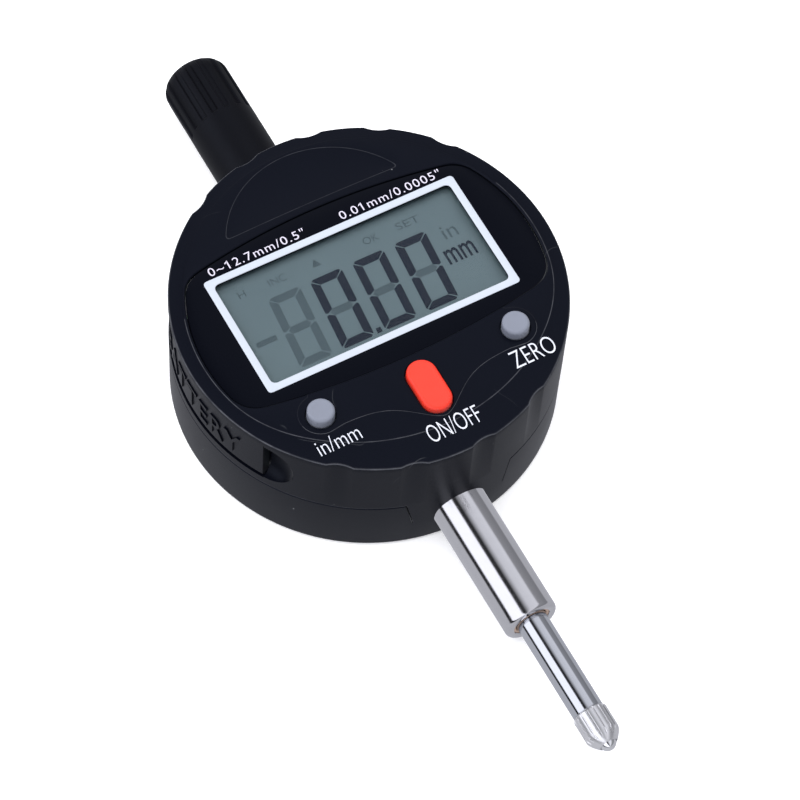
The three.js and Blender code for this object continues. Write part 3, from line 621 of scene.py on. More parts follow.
def blend_max(first, second, soft):
    """The larger of two distances with the corner between them rounded over soft millimetres."""
    h = np.clip(0.5 + 0.5 * (first - second) / soft, 0, 1)
    return second * (1 - h) + first * h + soft * h * (1 - h)


def from_circle(x, y, cx, cy, r):
    """Distance to the centre less the radius."""
    return np.hypot(x - cx, y - cy) - r


def label_edge(x, y):
    """Inside three circles: round sides, a shallow upper arc and a shallow lower arc."""
    side = from_circle(x, y, 0, 0, LABEL_R)
    upper = from_circle(x, y, 0, LABEL_TOP - LABEL_TOP_R, LABEL_TOP_R)
    lower = from_circle(x, y, 0, LABEL_FOOT + LABEL_FOOT_R, LABEL_FOOT_R)
    return blend_max(blend_max(side, upper, 1.6), lower, 2.6)


def crown_edge(x, y):
    """The D-shaped panel above the label: inside a circle and above a line that bows with the label."""
    bow = CROWN_FOOT - y - CROWN_BOW * x**2
    return blend_max(from_circle(x, y, 0, CROWN_Y, CROWN_R), bow, 0.8)


def plateau_edge(x, y):
    """The raised middle of the face: a large lower arc blended into arcs concentric with the case."""
    lower = from_circle(x, y, 0, PLATEAU_Y, PLATEAU_R)
    return blend_max(lower, from_circle(x, y, 0, 0, CASE_R - 2.1), 1.0)


def key_panel_edge(x, y):
    """The keys' panel: above a wave that dips under the middle key, with a round lobe at each end."""
    wave = WAVE_Y - WAVE_DEPTH * np.exp(-(np.abs(x / WAVE_WIDTH) ** 1.7)) - y
    middle = blend_max(wave, np.abs(x) - PANEL_HALF, 0.3)
    lobe = from_circle(np.abs(x), y, LOBE_X, LOBE_Y, LOBE_R)
    joined = -blend_max(-middle, -lobe, 0.5)
    return np.maximum(joined, y - PANEL_TOP)


def slot_edge(x, y, cx, cy, r, half):
    """An upright slot with round ends."""
    return np.hypot(x - cx, np.maximum(np.abs(y - cy) - half, 0)) - r


def view_edge(grow, corner):
    """The window's rectangle, grown all round, with rounded corners."""
    return lambda x, y: box_edge(x, y, VIEW_Y, VIEW_HALF_X + grow, VIEW_HALF_Y + grow, corner)


def box_edge(x, y, cy, half_x, half_y, corner):
    """A rectangle with rounded corners."""
    qx = np.abs(x) - half_x + corner
    qy = np.abs(y - cy) - half_y + corner
    outside = np.hypot(np.maximum(qx, 0), np.maximum(qy, 0))
    return outside + np.minimum(np.maximum(qx, qy), 0) - corner


def contour(edge, centre, level, count):
    """The closed line where a distance has a level, found along rays from a centre by halving."""
    angle = np.linspace(0, TAU, count, endpoint=False)
    low, high = np.zeros(count), np.full(count, REACH)
    for _ in range(48):
        middle = (low + high) / 2
        x = centre[0] + middle * np.cos(angle)
        y = centre[1] + middle * np.sin(angle)
        outside = edge(x, y) > level
        high = np.where(outside, middle, high)
        low = np.where(outside, low, middle)
    r = (low + high) / 2
    return np.stack([centre[0] + r * np.cos(angle), centre[1] + r * np.sin(angle)], 1)


def risen(edge, centre, steps, count):
    """A grid with one row for each (distance, height) step: the outline at that distance and height."""
    return np.stack([lifted(contour(edge, centre, level, count), z) for level, z in steps])


def fill(loops, keep):
    """Triangles between closed lines in the face plane; keep(x, y) says which to leave in."""
    points = np.concatenate(loops)
    starts = np.cumsum([0] + [len(loop) for loop in loops])
    edges = []
    for start, loop in zip(starts, loops):
        n = len(loop)
        edges += [(start + i, start + (i + 1) % n) for i in range(n)]
    flat, _, faces, *_ = delaunay_2d_cdt([Vector(p) for p in points], edges, [], 0, 1e-7)
    flat = np.array([tuple(p) for p in flat])
    faces = np.array(faces)
    middle = flat[faces].mean(1)
    return flat, faces[keep(middle[:, 0], middle[:, 1])].tolist()


def along(points, line):
    """Each point's gap to a closed line a, b, c... and its place t there: min |p - (a + t (b - a))|."""
    step = np.roll(line, -1, 0) - line
    away = points[:, None, :] - line
    share = np.clip((away * step).sum(-1) / (step**2).sum(-1), 0, 1)
    gap = np.linalg.norm(away - share[..., None] * step, axis=-1)
    best = gap.argmin(1)
    rows = np.arange(len(points))
    return gap[rows, best], best + share[rows, best]


# ---------------------------------------------------------------- the two shells
DIP_DEPTH = 0.42  # of the grip dips
DIP_R = 5.0
DIPS_ABOVE = [79.7 + 20.4 * i for i in range(-2, 3)]
DIPS_BELOW = [265 + 21.2 * (i - 1.5) for i in range(4)]
DIP_ANGLES = DIPS_ABOVE + DIPS_BELOW
TONGUE_TOP, TONGUE_END = 8.2, 7.1  # half widths of the tongue over the stem
KEYS = [(-15.27, -14.17, 1.95, 0.0), (15.27, -14.17, 1.95, 0.0), (0.0, -17.1, 2.2, 2.05)]
KEY_GAP, LABEL_GAP = 0.13, 0.12
HOLE_EDGE = 0.12  # bevel round each opening of the face, down and out
HOLE_FLARE = 0.13
HOLE_R = 4.06  # the hole that closes round the stem
LINER = (208.5, 224.5)  # degrees between which the wall is thicker, behind the thumb notch
LINER_DEPTH = 1.9
RAISED, SUNK = 0.09, 0.07  # the keys' panel and the crown panel


def case_radius(angle):
    """The front shell's outline: a circle with shallow round dips, angle in radians."""
    r = np.full_like(angle, CASE_R)
    reach = CASE_R - DIP_DEPTH + DIP_R
    for middle in np.radians(DIP_ANGLES):
        off = (angle - middle + np.pi) % TAU - np.pi
        inside = DIP_R**2 - (reach * np.sin(off)) ** 2
        wall = reach * np.cos(off) - np.sqrt(np.maximum(inside, 0))
        r = np.where((inside > 0) & (np.abs(off) < 0.5), np.minimum(r, wall), r)
    return r


def tongue_depth(angle, gap):
    """How low the tongue over the stem reaches at each angle; beyond it, the height of the split."""
    x = CASE_R * np.cos(angle)
    front_side = np.sin(angle) < 0
    share = np.clip((TONGUE_TOP + gap - np.abs(x)) / (TONGUE_TOP - TONGUE_END), 0, 1)
    level = SPLIT_Z - share * (SPLIT_Z - AXIS_Z)
    return np.where(front_side & (np.abs(x) < TONGUE_TOP + gap), level, SPLIT_Z)


def wall_angles():
    """Evenly spread angles with extra ones where the outline has corners."""
    even = np.linspace(0, TAU, 900, endpoint=False)
    half = np.arcsin(np.sqrt(DIP_R**2 - (DIP_R - DIP_DEPTH) ** 2) / CASE_R)
    corners = [np.radians(a) + s * half for a in DIP_ANGLES for s in (-1, 1)]
    for x in (TONGUE_TOP, TONGUE_END, TONGUE_TOP + SEAM, TONGUE_END + SEAM):
        corners += [np.radians(270) + s * np.arcsin(x / CASE_R) for s in (-1, 1)]
    near_stem = np.radians(270) + np.arcsin(np.linspace(-4.25, 4.25, 61) / CASE_R)
    extra = np.concatenate([np.array(corners) % TAU, near_stem])
    every = np.sort(np.concatenate([even, extra]))
    return every[np.concatenate([[True], np.diff(every) > 2e-4])]


ANGLES = wall_angles()
WALL_R = case_radius(ANGLES)


def ring(r):
    """Flat points round the case, from a radius at every angle."""
    return np.stack([r * np.cos(ANGLES), r * np.sin(ANGLES)], -1)


def ring_rows(steps):
    """Rows of points round the case: each (radius, height) step may vary with the angle."""
    return np.stack([np.column_stack([ring(r), np.broadcast_to(z, ANGLES.shape)]) for r, z in steps])


def stem_arch():
    """Half the height of the stem's hole at every angle, and where the hole is."""
    x = CASE_R * np.cos(ANGLES)
    return np.sqrt(np.maximum(HOLE_R**2 - x**2, 0)), (np.sin(ANGLES) < 0) & (np.abs(x) < HOLE_R)


def front_height(x, y):
    """The face: a plateau, a crescent that falls away outside it, a raised key panel, a sunk crown panel."""
    outside = np.clip(plateau_edge(x, y) / 2.6, 0, 1)
    fall = np.clip(plateau_edge(x, y) / 0.18, 0, 1) * 0.05 + outside * 0.16
    raised = np.clip(0.5 - key_panel_edge(x, y) / 0.22, 0, 1)
    sunk = np.clip(0.5 - crown_edge(x, y) / 0.2, 0, 1)
    ease = raised * raised * (3 - 2 * raised)
    return FACE_Z - fall + RAISED * ease - SUNK * sunk


def front_shell():
    """Three surfaces that meet: the round wall, its rows set by (radius, height); the face, triangles between
    outlines raised to front_height; and the flat under side. A short wall lines each opening."""
    arch, over_stem = stem_arch()
    bottom = tongue_depth(ANGLES, 0.0)
    bottom = bottom + np.where(bottom < AXIS_Z + 0.01, 0.0, SEAM)
    bottom = np.where(over_stem, np.maximum(bottom, AXIS_Z + arch), bottom)
    degrees = np.degrees(ANGLES)
    inner = np.where((degrees > LINER[0]) & (degrees < LINER[1]), INNER_R - LINER_DEPTH, INNER_R)
    rim = ring(WALL_R - RIM)
    rim_z = front_height(*rim.T)
    lip = np.where(bottom < AXIS_Z + 0.05, 0.02, LIP)
    over = SPLIT_Z + SEAM + LIP
    low_edge = bottom + lip
    drop = (WALL_R - CASE_R) * 0.9  # how much of the dips there is at the foot of the full wall
    steps = [
        (inner, CEILING_Z),
        (inner, bottom),
        (CASE_R - lip, bottom),
        (CASE_R, low_edge),
        (CASE_R, np.maximum(over + 0.1, low_edge)),
        (CASE_R, SPLIT_Z + 0.9),
        (CASE_R + drop, FACE_Z - 1.3),
    ]
    turn = np.linspace(0, np.pi / 2, 6)
    steps += [(WALL_R - RIM * (1 - np.cos(t)), rim_z - RIM * (1 - np.sin(t))) for t in turn]
    parts = [sheet(ring_rows(steps))]

    openings = [(label_edge, (0, 2), LABEL_GAP, 420)]
    for cx, cy, r, half in KEYS:
        edge = lambda px, py, cx=cx, cy=cy, r=r, half=half: slot_edge(px, py, cx, cy, r, half)
        openings.append((edge, (cx, cy), KEY_GAP, 72))
    holes = [contour(edge, centre, gap, count) for edge, centre, gap, count in openings]
    flares = [contour(edge, centre, gap + HOLE_FLARE, count) for edge, centre, gap, count in openings]

    def solid(px, py):
        keep = np.hypot(px, py) < case_radius(np.arctan2(py, px) % TAU) - RIM
        for edge, _, gap, _ in openings:
            keep &= edge(px, py) > gap
        return keep

    lines = [rim, *holes, *flares]
    for level in (-0.11, -0.05, 0.0, 0.05, 0.11):
        lines.append(contour(crown_edge, (0, 20.5), level, 300))
        lines.append(contour(key_panel_edge, (0, -14.0), level, 480))
    for level in (0.0, 0.09, 0.18):
        lines.append(contour(plateau_edge, (0, 0), level, 480))
    flat, triangles = fill(lines, solid)
    z = front_height(*flat.T)
    for i, (edge, _, gap, _) in enumerate(openings):
        close = np.flatnonzero(np.abs(edge(*flat.T) - gap) < 0.1)
        away, place = along(flat[close], holes[i])
        close, place = close[away < 1e-5], place[away < 1e-5]
        holes[i] = flat[close[np.argsort(place)]]
        z[close] -= HOLE_EDGE
    parts.append((np.column_stack([flat, z]), triangles))

    def inside(px, py):
        return np.hypot(px, py) < np.interp(np.arctan2(py, px) % TAU, ANGLES, inner)

    under, triangles = fill([ring(inner), *holes], lambda px, py: solid(px, py) & inside(px, py))
    parts.append((lifted(under, CEILING_Z), triangles))
    for hole in holes:
        upper = np.column_stack([hole, front_height(*hole.T) - HOLE_EDGE])
        parts.append(sheet(np.stack([upper, lifted(hole, CEILING_Z)])))
    return piece("front_shell_surface", combine(parts), black_plastic, "case", "front_shell")


COVER_R = CASE_R - 0.26  # the drawer cover's face; its letters reach the case's radius
COVER_HALF = np.degrees(np.arcsin(drawer_high[1] / CASE_R))
DOOR_GAP = 0.2


def doorway():
    """The cut for the drawer: a stretch of round wall, larger than the cover by a gap all round."""
    half = COVER_HALF + np.degrees(DOOR_GAP / CASE_R)
    a = np.radians(np.linspace(180 - half, 180 + half, 48))
    bend = np.stack([np.cos(a), np.sin(a)], 1)
    outline = np.concatenate([(CASE_R + 1) * bend, (CASE_R - 2.2) * bend[::-1]])
    return cutter(prism(outline, DRAWER_Z - DOOR_GAP, DRAWER_TOP + DOOR_GAP))


def thumb_notch():
    """An ellipsoid sunk in the wall beside the cover: half of it is left as a scoop."""
    centre_angle = np.radians(180 + COVER_HALF + 0.9)
    across = np.linspace(0, TAU, 72, endpoint=False)[None, :]
    down = np.linspace(0.02, np.pi - 0.02, 36)[:, None]
    u = 4.3 * np.sin(down) * np.cos(across)
    v = 4.15 * np.sin(down) * np.sin(across)
    w = 2.7 * np.cos(down) * np.ones_like(across)
    out = np.array([np.cos(centre_angle), np.sin(centre_angle), 0])
    round_wall = np.array([-np.sin(centre_angle), np.cos(centre_angle), 0])
    centre = out * (CASE_R + 0.1) + np.array([0, 0, (DRAWER_Z + DRAWER_TOP) / 2])
    upright = np.array([0, 0, 1])
    return cutter(centre + u[..., None] * round_wall + v[..., None] * upright + w[..., None] * out)


def front_painted_highlight(x, y, z):
    """Painted highlight lines, a lighter grey standing in for edges that catch the light: the rim, the steps
    on the face, the lip over the split and the slits of the tongue.
    """
    r = np.hypot(x, y)
    wall = case_radius(np.arctan2(y, x) % TAU)
    on_top = z > FACE_Z - 0.9
    on_rim = on_top & (r > wall - RIM - 0.01)
    rim = near(front_height(x, y) - z - 0.12, 0.11) * np.where(on_rim, 0.9, 0)
    wave = near(key_panel_edge(x, y) - 0.055, 0.05) * np.where(y < -14.6, 0.75, 0.12)
    plateau = near(plateau_edge(x, y) - 0.09, 0.08) * np.where(y < 8, 0.6, 0.0)
    crown = near(crown_edge(x, y) - 0.05, 0.055) * 0.35
    flat = np.where(on_top & (r < wall - RIM), 1, 0)
    lip = near(z - (SPLIT_Z + SEAM + LIP), 0.08) * np.where(r > CASE_R - 0.3, 0.5, 0)
    return np.maximum(np.maximum(rim, lip), flat * np.maximum(np.maximum(wave, plateau), crown))


def back_shell():
    """One closed section carried round the case, its rows set by (radius, height): the inner wall, two
    ledges for the back cover, a rounded foot and the outer wall up to the split. Holes let the tubes out."""
    arch, under_stem = stem_arch()
    top = tongue_depth(ANGLES, SEAM)
    top = np.where(under_stem, np.minimum(top, AXIS_Z - arch), top)
    lip, edge = np.where(top < AXIS_Z + 0.05, 0.02, LIP), 0.75
    seat_r, ledge_r = cover_high[0] + 0.3, INNER_R - 2.3
    seat_z, floor_z = 1.9, 3.4
    outer = CASE_R - 0.02
    steps = [
        (INNER_R, np.maximum(top, floor_z + 0.1)),
        (INNER_R, floor_z),
        (ledge_r, floor_z),
        (ledge_r, seat_z),
        (seat_r, seat_z),
        (seat_r, 0.0),
    ]
    turn = np.linspace(0, np.pi / 2, 7)
    steps += [(outer - edge * (1 - np.sin(t)), np.minimum(edge * (1 - np.cos(t)), top)) for t in turn]
    steps += [(outer, np.maximum(top - lip, edge)), (outer - lip, np.maximum(top, edge))]
    shape = sheet(ring_rows(steps), wrap_rows=True)
    made = piece("back_shell_surface", shape, black_plastic, "case", "back_shell")
    tube_holes = [cutter(turned_y([(HOLE_R, y), (HOLE_R, y + 10)], 64)) for y in (20, -30)]
    return carve(made, tube_holes)


front = carve(front_shell(), [doorway(), thumb_notch()])
# painted highlight along the front shell's rim, the steps on its face and the lip over the split
rub(front, front_painted_highlight)
for shell in (front, back_shell()):
    shell.visible_glossy = False


# ---------------------------------------------------------------- lettering
def glyphs(text, weight, spacing):
    """The points and faces of a line of text, as the font gives them."""
    curve = bpy.data.curves.new("letters", "FONT")
    curve.body = text
    curve.extrude = 0.02
    curve.offset = weight
    curve.space_character = spacing
    curve.resolution_u = 6
    holder = bpy.data.objects.new("letters", curve)
    bpy.context.scene.collection.objects.link(holder)
    bpy.context.view_layer.update()
    mesh = bpy.data.meshes.new_from_object(holder.evaluated_get(bpy.context.evaluated_depsgraph_get()))
    points = np.empty(len(mesh.vertices) * 3)
    mesh.vertices.foreach_get("co", points)
    faces = [list(p.vertices) for p in mesh.polygons]
    bpy.data.objects.remove(holder)
    bpy.data.meshes.remove(mesh)
    return points.reshape(-1, 3), faces


def bars(outlines, z, thickness=0.015):
    """Flat bars with a little thickness, from outlines that are already in place."""
    return combine([sheet(prism(outline, z, z + thickness), capped=True) for outline in outlines])


FLAG = [(-0.15, -0.21), (0.03, -0.11), (0.03, 0.0), (-0.15, -0.12)]  # from the top left corner of a figure 1


def flags(text, weight, spacing):
    """The slanted flag of each figure 1, which the font draws as a plain stroke."""
    one, _ = glyphs("1", weight, 1.0)
    top = one[:, 1].max()
    found = []
    for place in [i for i, figure in enumerate(text) if figure == "1"]:
        before, _ = glyphs(text[: place + 1], weight, spacing)
        left = before[:, 0].max() - np.ptp(one[:, 0])
        found.append([(left + x, top + y) for x, y in FLAG])
    return found


def letters(text, box, z, thickness=0.02, weight=0.0, spacing=1.0, tall="H"):
    """Text stretched into a box (low x, base line, high x, top of a tall letter), with a little thickness."""
    points, faces = glyphs(text, weight, spacing)
    if "1" in text:
        points, faces = combine([(points, faces), bars(flags(text, weight, spacing), -0.02, 0.04)])
    rule, _ = glyphs(tall, weight, 1.0)
    low, high = points.min(0), points.max(0)
    base, top = rule[:, 1].min(), rule[:, 1].max()
    x = box[0] + (points[:, 0] - low[0]) / (high[0] - low[0]) * (box[2] - box[0])
    y = box[1] + (points[:, 1] - base) / (top - base) * (box[3] - box[1])
    up = z + (points[:, 2] - low[2]) / (high[2] - low[2]) * thickness
    return np.column_stack([x, y, up]), faces


# ---------------------------------------------------------------- label, window and display
def slab(name, outer, outer_centre, inner, z0, z1, edge, material, counts, node=None):
    """A flat plate round the window: both outlines rise straight, then turn in over an edge."""

    def steps(way):
        return [(0.0, z0), (0.0, z1 - edge), (way * 0.3 * edge, z1 - 0.3 * edge), (way * edge, z1)]

    side = risen(outer, outer_centre, steps(-1), counts[0])
    hole = risen(inner, (0, VIEW_Y), steps(1), counts[1])
    parts = [sheet(side), sheet(hole)]
    for row, z, inset in ((-1, z1, edge), (0, z0, 0.0)):
        flat, triangles = fill(
            [side[row, :, :2], hole[row, :, :2]],
            lambda px, py, inset=inset: (outer(px, py) < -inset) & (inner(px, py) > inset),
        )
        parts.append((lifted(flat, z), triangles))
    return piece(name, combine(parts), material, "case", node)


def display_panel():
    """The display's glass slab, its top face a little inside the edge all round."""
    half_x, half_y, bevel = glass_high[0], (glass_high[1] - glass_low[1]) / 2, 0.1
    edge = lambda x, y: box_edge(x, y, VIEW_Y, half_x, half_y, 0.3)
    steps = [(0.0, glass_low[2]), (0.0, glass_high[2] - bevel), (-bevel, glass_high[2])]
    shape = sheet(risen(edge, (0, VIEW_Y), steps, 160), capped=True)
    piece("display_surface", shape, display_grey, "case", "lcd_glass")


slab(
    "label_surface", label_edge, (0, 2), view_edge(0.02, 0.8), plate_low[2], PLATE_TOP, 0.12,
    label_black, (420, 480), "label_plate",
)
slab(
    "white_frame", view_edge(1.08, 0.55), (0, VIEW_Y), view_edge(0.0, 0.8), PLATE_TOP - 0.1,
    PLATE_TOP + 0.02, 0.01, frame_ink, (720, 480),
)
display_panel()

DIGIT_W, DIGIT_H, STROKE, SLANT = 5.0, 11.9, 1.2, np.tan(np.radians(5))
DIGIT_BASE = -5.6
DIGIT_X = (-7.1, -0.4, 6.3)
GHOST_X = -13.7
POINT = [(-1.6, -5.55), (-0.85, -5.55), (-0.78, -4.7), (-1.53, -4.7)]
MINUS = [(-17.5, -0.1), (-14.4, -0.1), (-14.3, 0.8), (-17.4, 0.8)]
ARROW = [(-4.6, 8.0), (-3.2, 8.0), (-3.9, 9.3)]
GHOST_WORDS = [
    ("H", (-16.0, 8.1, -14.9, 9.3)),
    ("INC", (-11.3, 8.0, -8.6, 9.2)),
    ("OK", (3.7, 8.0, 6.1, 9.2)),
    ("SET", (9.0, 8.0, 12.7, 9.2)),
    ("in", (14.3, 3.6, 16.5, 6.0)),
]


def segment_shapes():
    """The seven bars of a digit as outlines in its own box; mitred ends leave a fine gap."""
    w, h, t = DIGIT_W, DIGIT_H, STROKE
    g, c = 0.07, 0.42  # half the gap, and the cut corner
    m = h / 2
    top = [
        (c + g, h), (w - c - g, h), (w - 0.15 - g, h - 0.25),
        (w - t - g, h - t), (t + g, h - t), (0.15 + g, h - 0.25),
    ]
    left_up = [
        (0, h - c - 0.1), (0.1, h - 0.33 - g), (t, h - t - g),
        (t, m + t * 0.42 + g), (0.35, m + 0.1), (0, m + 0.3),
    ]
    middle = [
        (t * 0.55 + g, m), (t + g, m + t / 2), (w - t - g, m + t / 2),
        (w - t * 0.55 - g, m), (w - t - g, m - t / 2), (t + g, m - t / 2),
    ]
    turn_over = lambda shape: [(x, h - y) for x, y in reversed(shape)]
    mirror = lambda shape: [(w - x, y) for x, y in reversed(shape)]
    return {
        "a": top,
        "f": left_up,
        "b": mirror(left_up),
        "g": middle,
        "e": turn_over(left_up),
        "c": turn_over(mirror(left_up)),
        "d": turn_over(top),
    }


def digit(x, names):
    """The named bars of a slanted digit whose lower left corner is at x."""
    shapes = segment_shapes()
    return [[(x + px + py * SLANT, DIGIT_BASE + py) for px, py in shapes[n]] for n in names]


def display_ink():
    """Three lit zeros, the point and the unit; and, barely seen, every bar and word that is off."""
    lit = [bar for x in DIGIT_X for bar in digit(x, "abcdef")] + [POINT]
    unit = letters("mm", (12.85, -0.35, 17.4, 2.1), DISPLAY_Z, 0.015, 0.01, tall="m")
    shape = combine([bars(lit, DISPLAY_Z), unit])
    piece("display_digits", shape, segment_on, "case")
    dim = [bar for x in DIGIT_X for bar in digit(x, "g")] + digit(GHOST_X, "abcdefg")
    words = [letters(text, box, DISPLAY_Z, 0.015) for text, box in GHOST_WORDS]
    shape = combine([bars([*dim, MINUS, ARROW], DISPLAY_Z), *words])
    piece("display_ghosts", shape, segment_off, "case")


display_ink()

ON_LABEL = INK_Z, label_ink, "label_print", {"weight": -0.002, "spacing": 1.15}
ON_CASE = FACE_Z, white_ink, "black_plastic", {"weight": -0.012}
for name, text, box, (z, ink, slot, how), tall in (
    ("range_text", '0~12.7mm/0.5"', (-18.35, 12.5, -3.3, 13.85), ON_LABEL, "0"),
    ("reading_text", '0.01mm/0.0005"', (2.4, 12.5, 18.5, 13.85), ON_LABEL, "0"),
    ("unit_text", "in/mm", (-18.2, -19.9, -11.8, -17.55), ON_CASE, "l"),
    ("zero_text", "ZERO", (12.2, -20.1, 18.8, -17.4), ON_CASE, "H"),
    ("power_text", "ON/OFF", (-3.8, -25.05, 4.15, -22.35), ON_CASE, "H"),
):
    piece(name, letters(text, box, z, tall=tall, **how), ink, "case", smooth=30)


# ---------------------------------------------------------------- keys
def key(name, node, place, body, material, slot, dome):
    """A key: its outline carried up over a quarter-round shoulder onto a top that rises or sinks by dome,
    as 1 less the square of the distance from its middle. A flange under the face holds it in."""
    cx, cy, r, half = place
    low, high = span(node)
    edge = lambda x, y: slot_edge(x, y, cx, cy, r, half)
    shoulder = 0.6 if dome > 0 else 0.5
    flange, flange_z = 0.65, FACE_Z - 1.6
    crest = high[2] - max(dome, 0)
    steps = [(flange, low[2]), (flange, flange_z), (0.0, FACE_Z - 1.3), (0.0, FACE_Z - 0.2)]
    turn = np.linspace(0, np.pi / 2, 8)
    steps += [(-shoulder * (1 - np.cos(t)), crest - shoulder * (1 - np.sin(t))) for t in turn]
    inward = np.linspace(shoulder, r - 0.05, 8)[1:]
    steps += [(-d, crest + dome * (1 - ((r - d) / (r - shoulder)) ** 2)) for d in inward]
    piece(name, sheet(risen(edge, (cx, cy), steps, 96), capped=True), material, body, node)


key("unit_key_cap", "unit_button", KEYS[0], "unit_key", grey_key, "grey_plastic", -0.14)
key("zero_key_cap", "zero_button", KEYS[1], "zero_key", grey_key, "grey_plastic", -0.14)
key("power_key_cap", "power_button", KEYS[2], "power_key", red_key, "red_plastic", 0.10)


# ---------------------------------------------------------------- battery drawer
def drawer_front():
    """The curved cover: its section, (radius, height) with cut edges, carried along the case's wall."""
    edge, count = 0.15, 90
    a = np.radians(np.linspace(180 - COVER_HALF, 180 + COVER_HALF, count))
    inset = edge / CASE_R
    a_in = np.clip(a, a[0] + inset, a[-1] - inset)
    section = [
        (INNER_R, DRAWER_Z, a),
        (COVER_R - edge, DRAWER_Z, a),
        (COVER_R, DRAWER_Z + edge, a_in),
        (COVER_R, DRAWER_TOP - edge, a_in),
        (COVER_R - edge, DRAWER_TOP, a),
        (INNER_R, DRAWER_TOP, a),
    ]
    rows = [np.stack([r * np.cos(b), r * np.sin(b), np.full(count, z)], -1) for r, z, b in section]
    points, faces = sheet(np.stack(rows), wrap_rows=True, wrap_columns=False)
    first = [row * count for row in range(len(rows))]
    last = [corner + count - 1 for corner in first][::-1]
    shape = points, faces + [first, last]
    piece("drawer_front", shape, black_plastic, "drawer", "battery_drawer")


def drawer_tray():
    """The tray behind the cover: a plate with a round pocket and a slot for the lower contact."""
    cell_low, cell_high = span("coin_cell")
    tray_low, tray_high = DRAWER_Z + 0.25, cell_high[2]
    cx = (cell_low[0] + cell_high[0]) / 2
    r = (cell_high[0] - cell_low[0]) / 2
    half = r + 0.8
    above, below = 30.0, 5.0  # well past the tray
    edge = lambda x, y: np.maximum(
        np.maximum(np.abs(y) - half, x - drawer_high[0]), from_circle(x, y, 0, 0, INNER_R + 0.5)
    )
    plate = risen(edge, (cx, 0), [(0.0, tray_low), (0.0, tray_high)], 240)
    made = piece("drawer_tray", sheet(plate, capped=True), black_plastic, "drawer")
    leaf = [(cx, -2.2), (2.0, -2.2), (2.0, 2.2), (cx, 2.2)]
    pocket = turned_z([(r + 0.3, tray_low + 0.5), (r + 0.3, above)], 96, cx)
    window = turned_z([(r - 2, below), (r - 2, above)], 96, cx)
    carve(made, [cutter(grid) for grid in (pocket, window, prism(leaf, below, above))])


def battery_letters():
    """Raised letters wrapped on the cover: distance along the wall becomes an angle."""
    middle = (DRAWER_Z + DRAWER_TOP) / 2 - 0.6
    half_length, half_height, depth = 10.9, 2.2, 0.26
    box = (-half_length, middle - half_height, half_length, middle + half_height)
    points, faces = letters("BATTERY", box, 0.0, depth, 0.0, 1.1)
    angle = np.pi + points[:, 0] / CASE_R
    r = COVER_R - 0.05 + points[:, 2]
    bent = np.column_stack([r * np.cos(angle), r * np.sin(angle), points[:, 1]])
    piece("battery_letters", (bent, faces), black_plastic, "drawer", smooth=30)


drawer_front()
drawer_tray()
battery_letters()


# ---------------------------------------------------------------- stem, spindle and contact point
def tube(node, profile, material, sides=160):
    """A closed (radius, y) section turned round the spindle's axis."""
    shape = sheet(turned_y(profile, sides), wrap_rows=True)
    piece(f"{node}_surface", shape, material, "case", node, 30.0)


def stepped(node, way):
    """A guide tube: thin shank inside the case, full width outside, a rounded outer end and a bush seat."""
    low, high = span(node)
    r = (high[2] - low[2]) / 2
    inner_end, end = (low[1], high[1]) if way > 0 else (high[1], low[1])
    step = way * (INNER_R - 0.6)
    round_r = 0.75
    seat_r, bore = 3.2, 2.6
    bend = arc((r - round_r, end - way * round_r), round_r, 0, 90 * way, 8)
    return [
        (r - 0.8, inner_end), (r - 0.8, step), (r, step), (r, end - way * 3.0), *bend,
        (3.0, end - way * 0.02), (2.85, end - way * 0.1), (2.76, end - way * 0.25),
        (seat_r, end - way * 0.3), (seat_r, end - way * 6.8), (bore, end - way * 6.8), (bore, inner_end),
    ]


def bush_profile(node):
    """A plain bush with cut edges, its bore a little wider than the spindle."""
    low, high = span(node)
    r = (high[2] - low[2]) / 2 + 0.15
    bore = 2.33
    y0, y1 = low[1] + 0.2, high[1] - 0.2
    return [
        (bore, y0 + 0.15), (bore + 0.15, y0), (r - 0.1, y0), (r, y0 + 0.1),
        (r, y1 - 0.1), (r - 0.1, y1), (bore + 0.15, y1), (bore, y1 - 0.15),
    ]


def turned_piece(name, grid, material, body, node, smooth=35.0):
    """A turned shape closed at both ends on its axis."""
    return piece(name, sheet(grid, capped=True), material, body, node, smooth)


def spindle():
    """A plain rod with a hole for the contact point's thread in its lower end."""
    r = (spindle_high[0] - spindle_low[0]) / 2
    y0, y1 = spindle_low[1], spindle_high[1]
    profile = [(0.01, y0 + 6), (1.4, y0 + 6), (1.4, y0), (r - 0.12, y0), (r, y0 + 0.12)]
    profile += [(r, y) for y in np.linspace(y0 + 1, y1 - 1, 6)]
    profile += [(r, y1 - 0.3), (r - 0.3, y1), (0.01, y1)]
    turned_piece("spindle_surface", turned_y(profile), spindle_chrome, "spindle", "spindle")


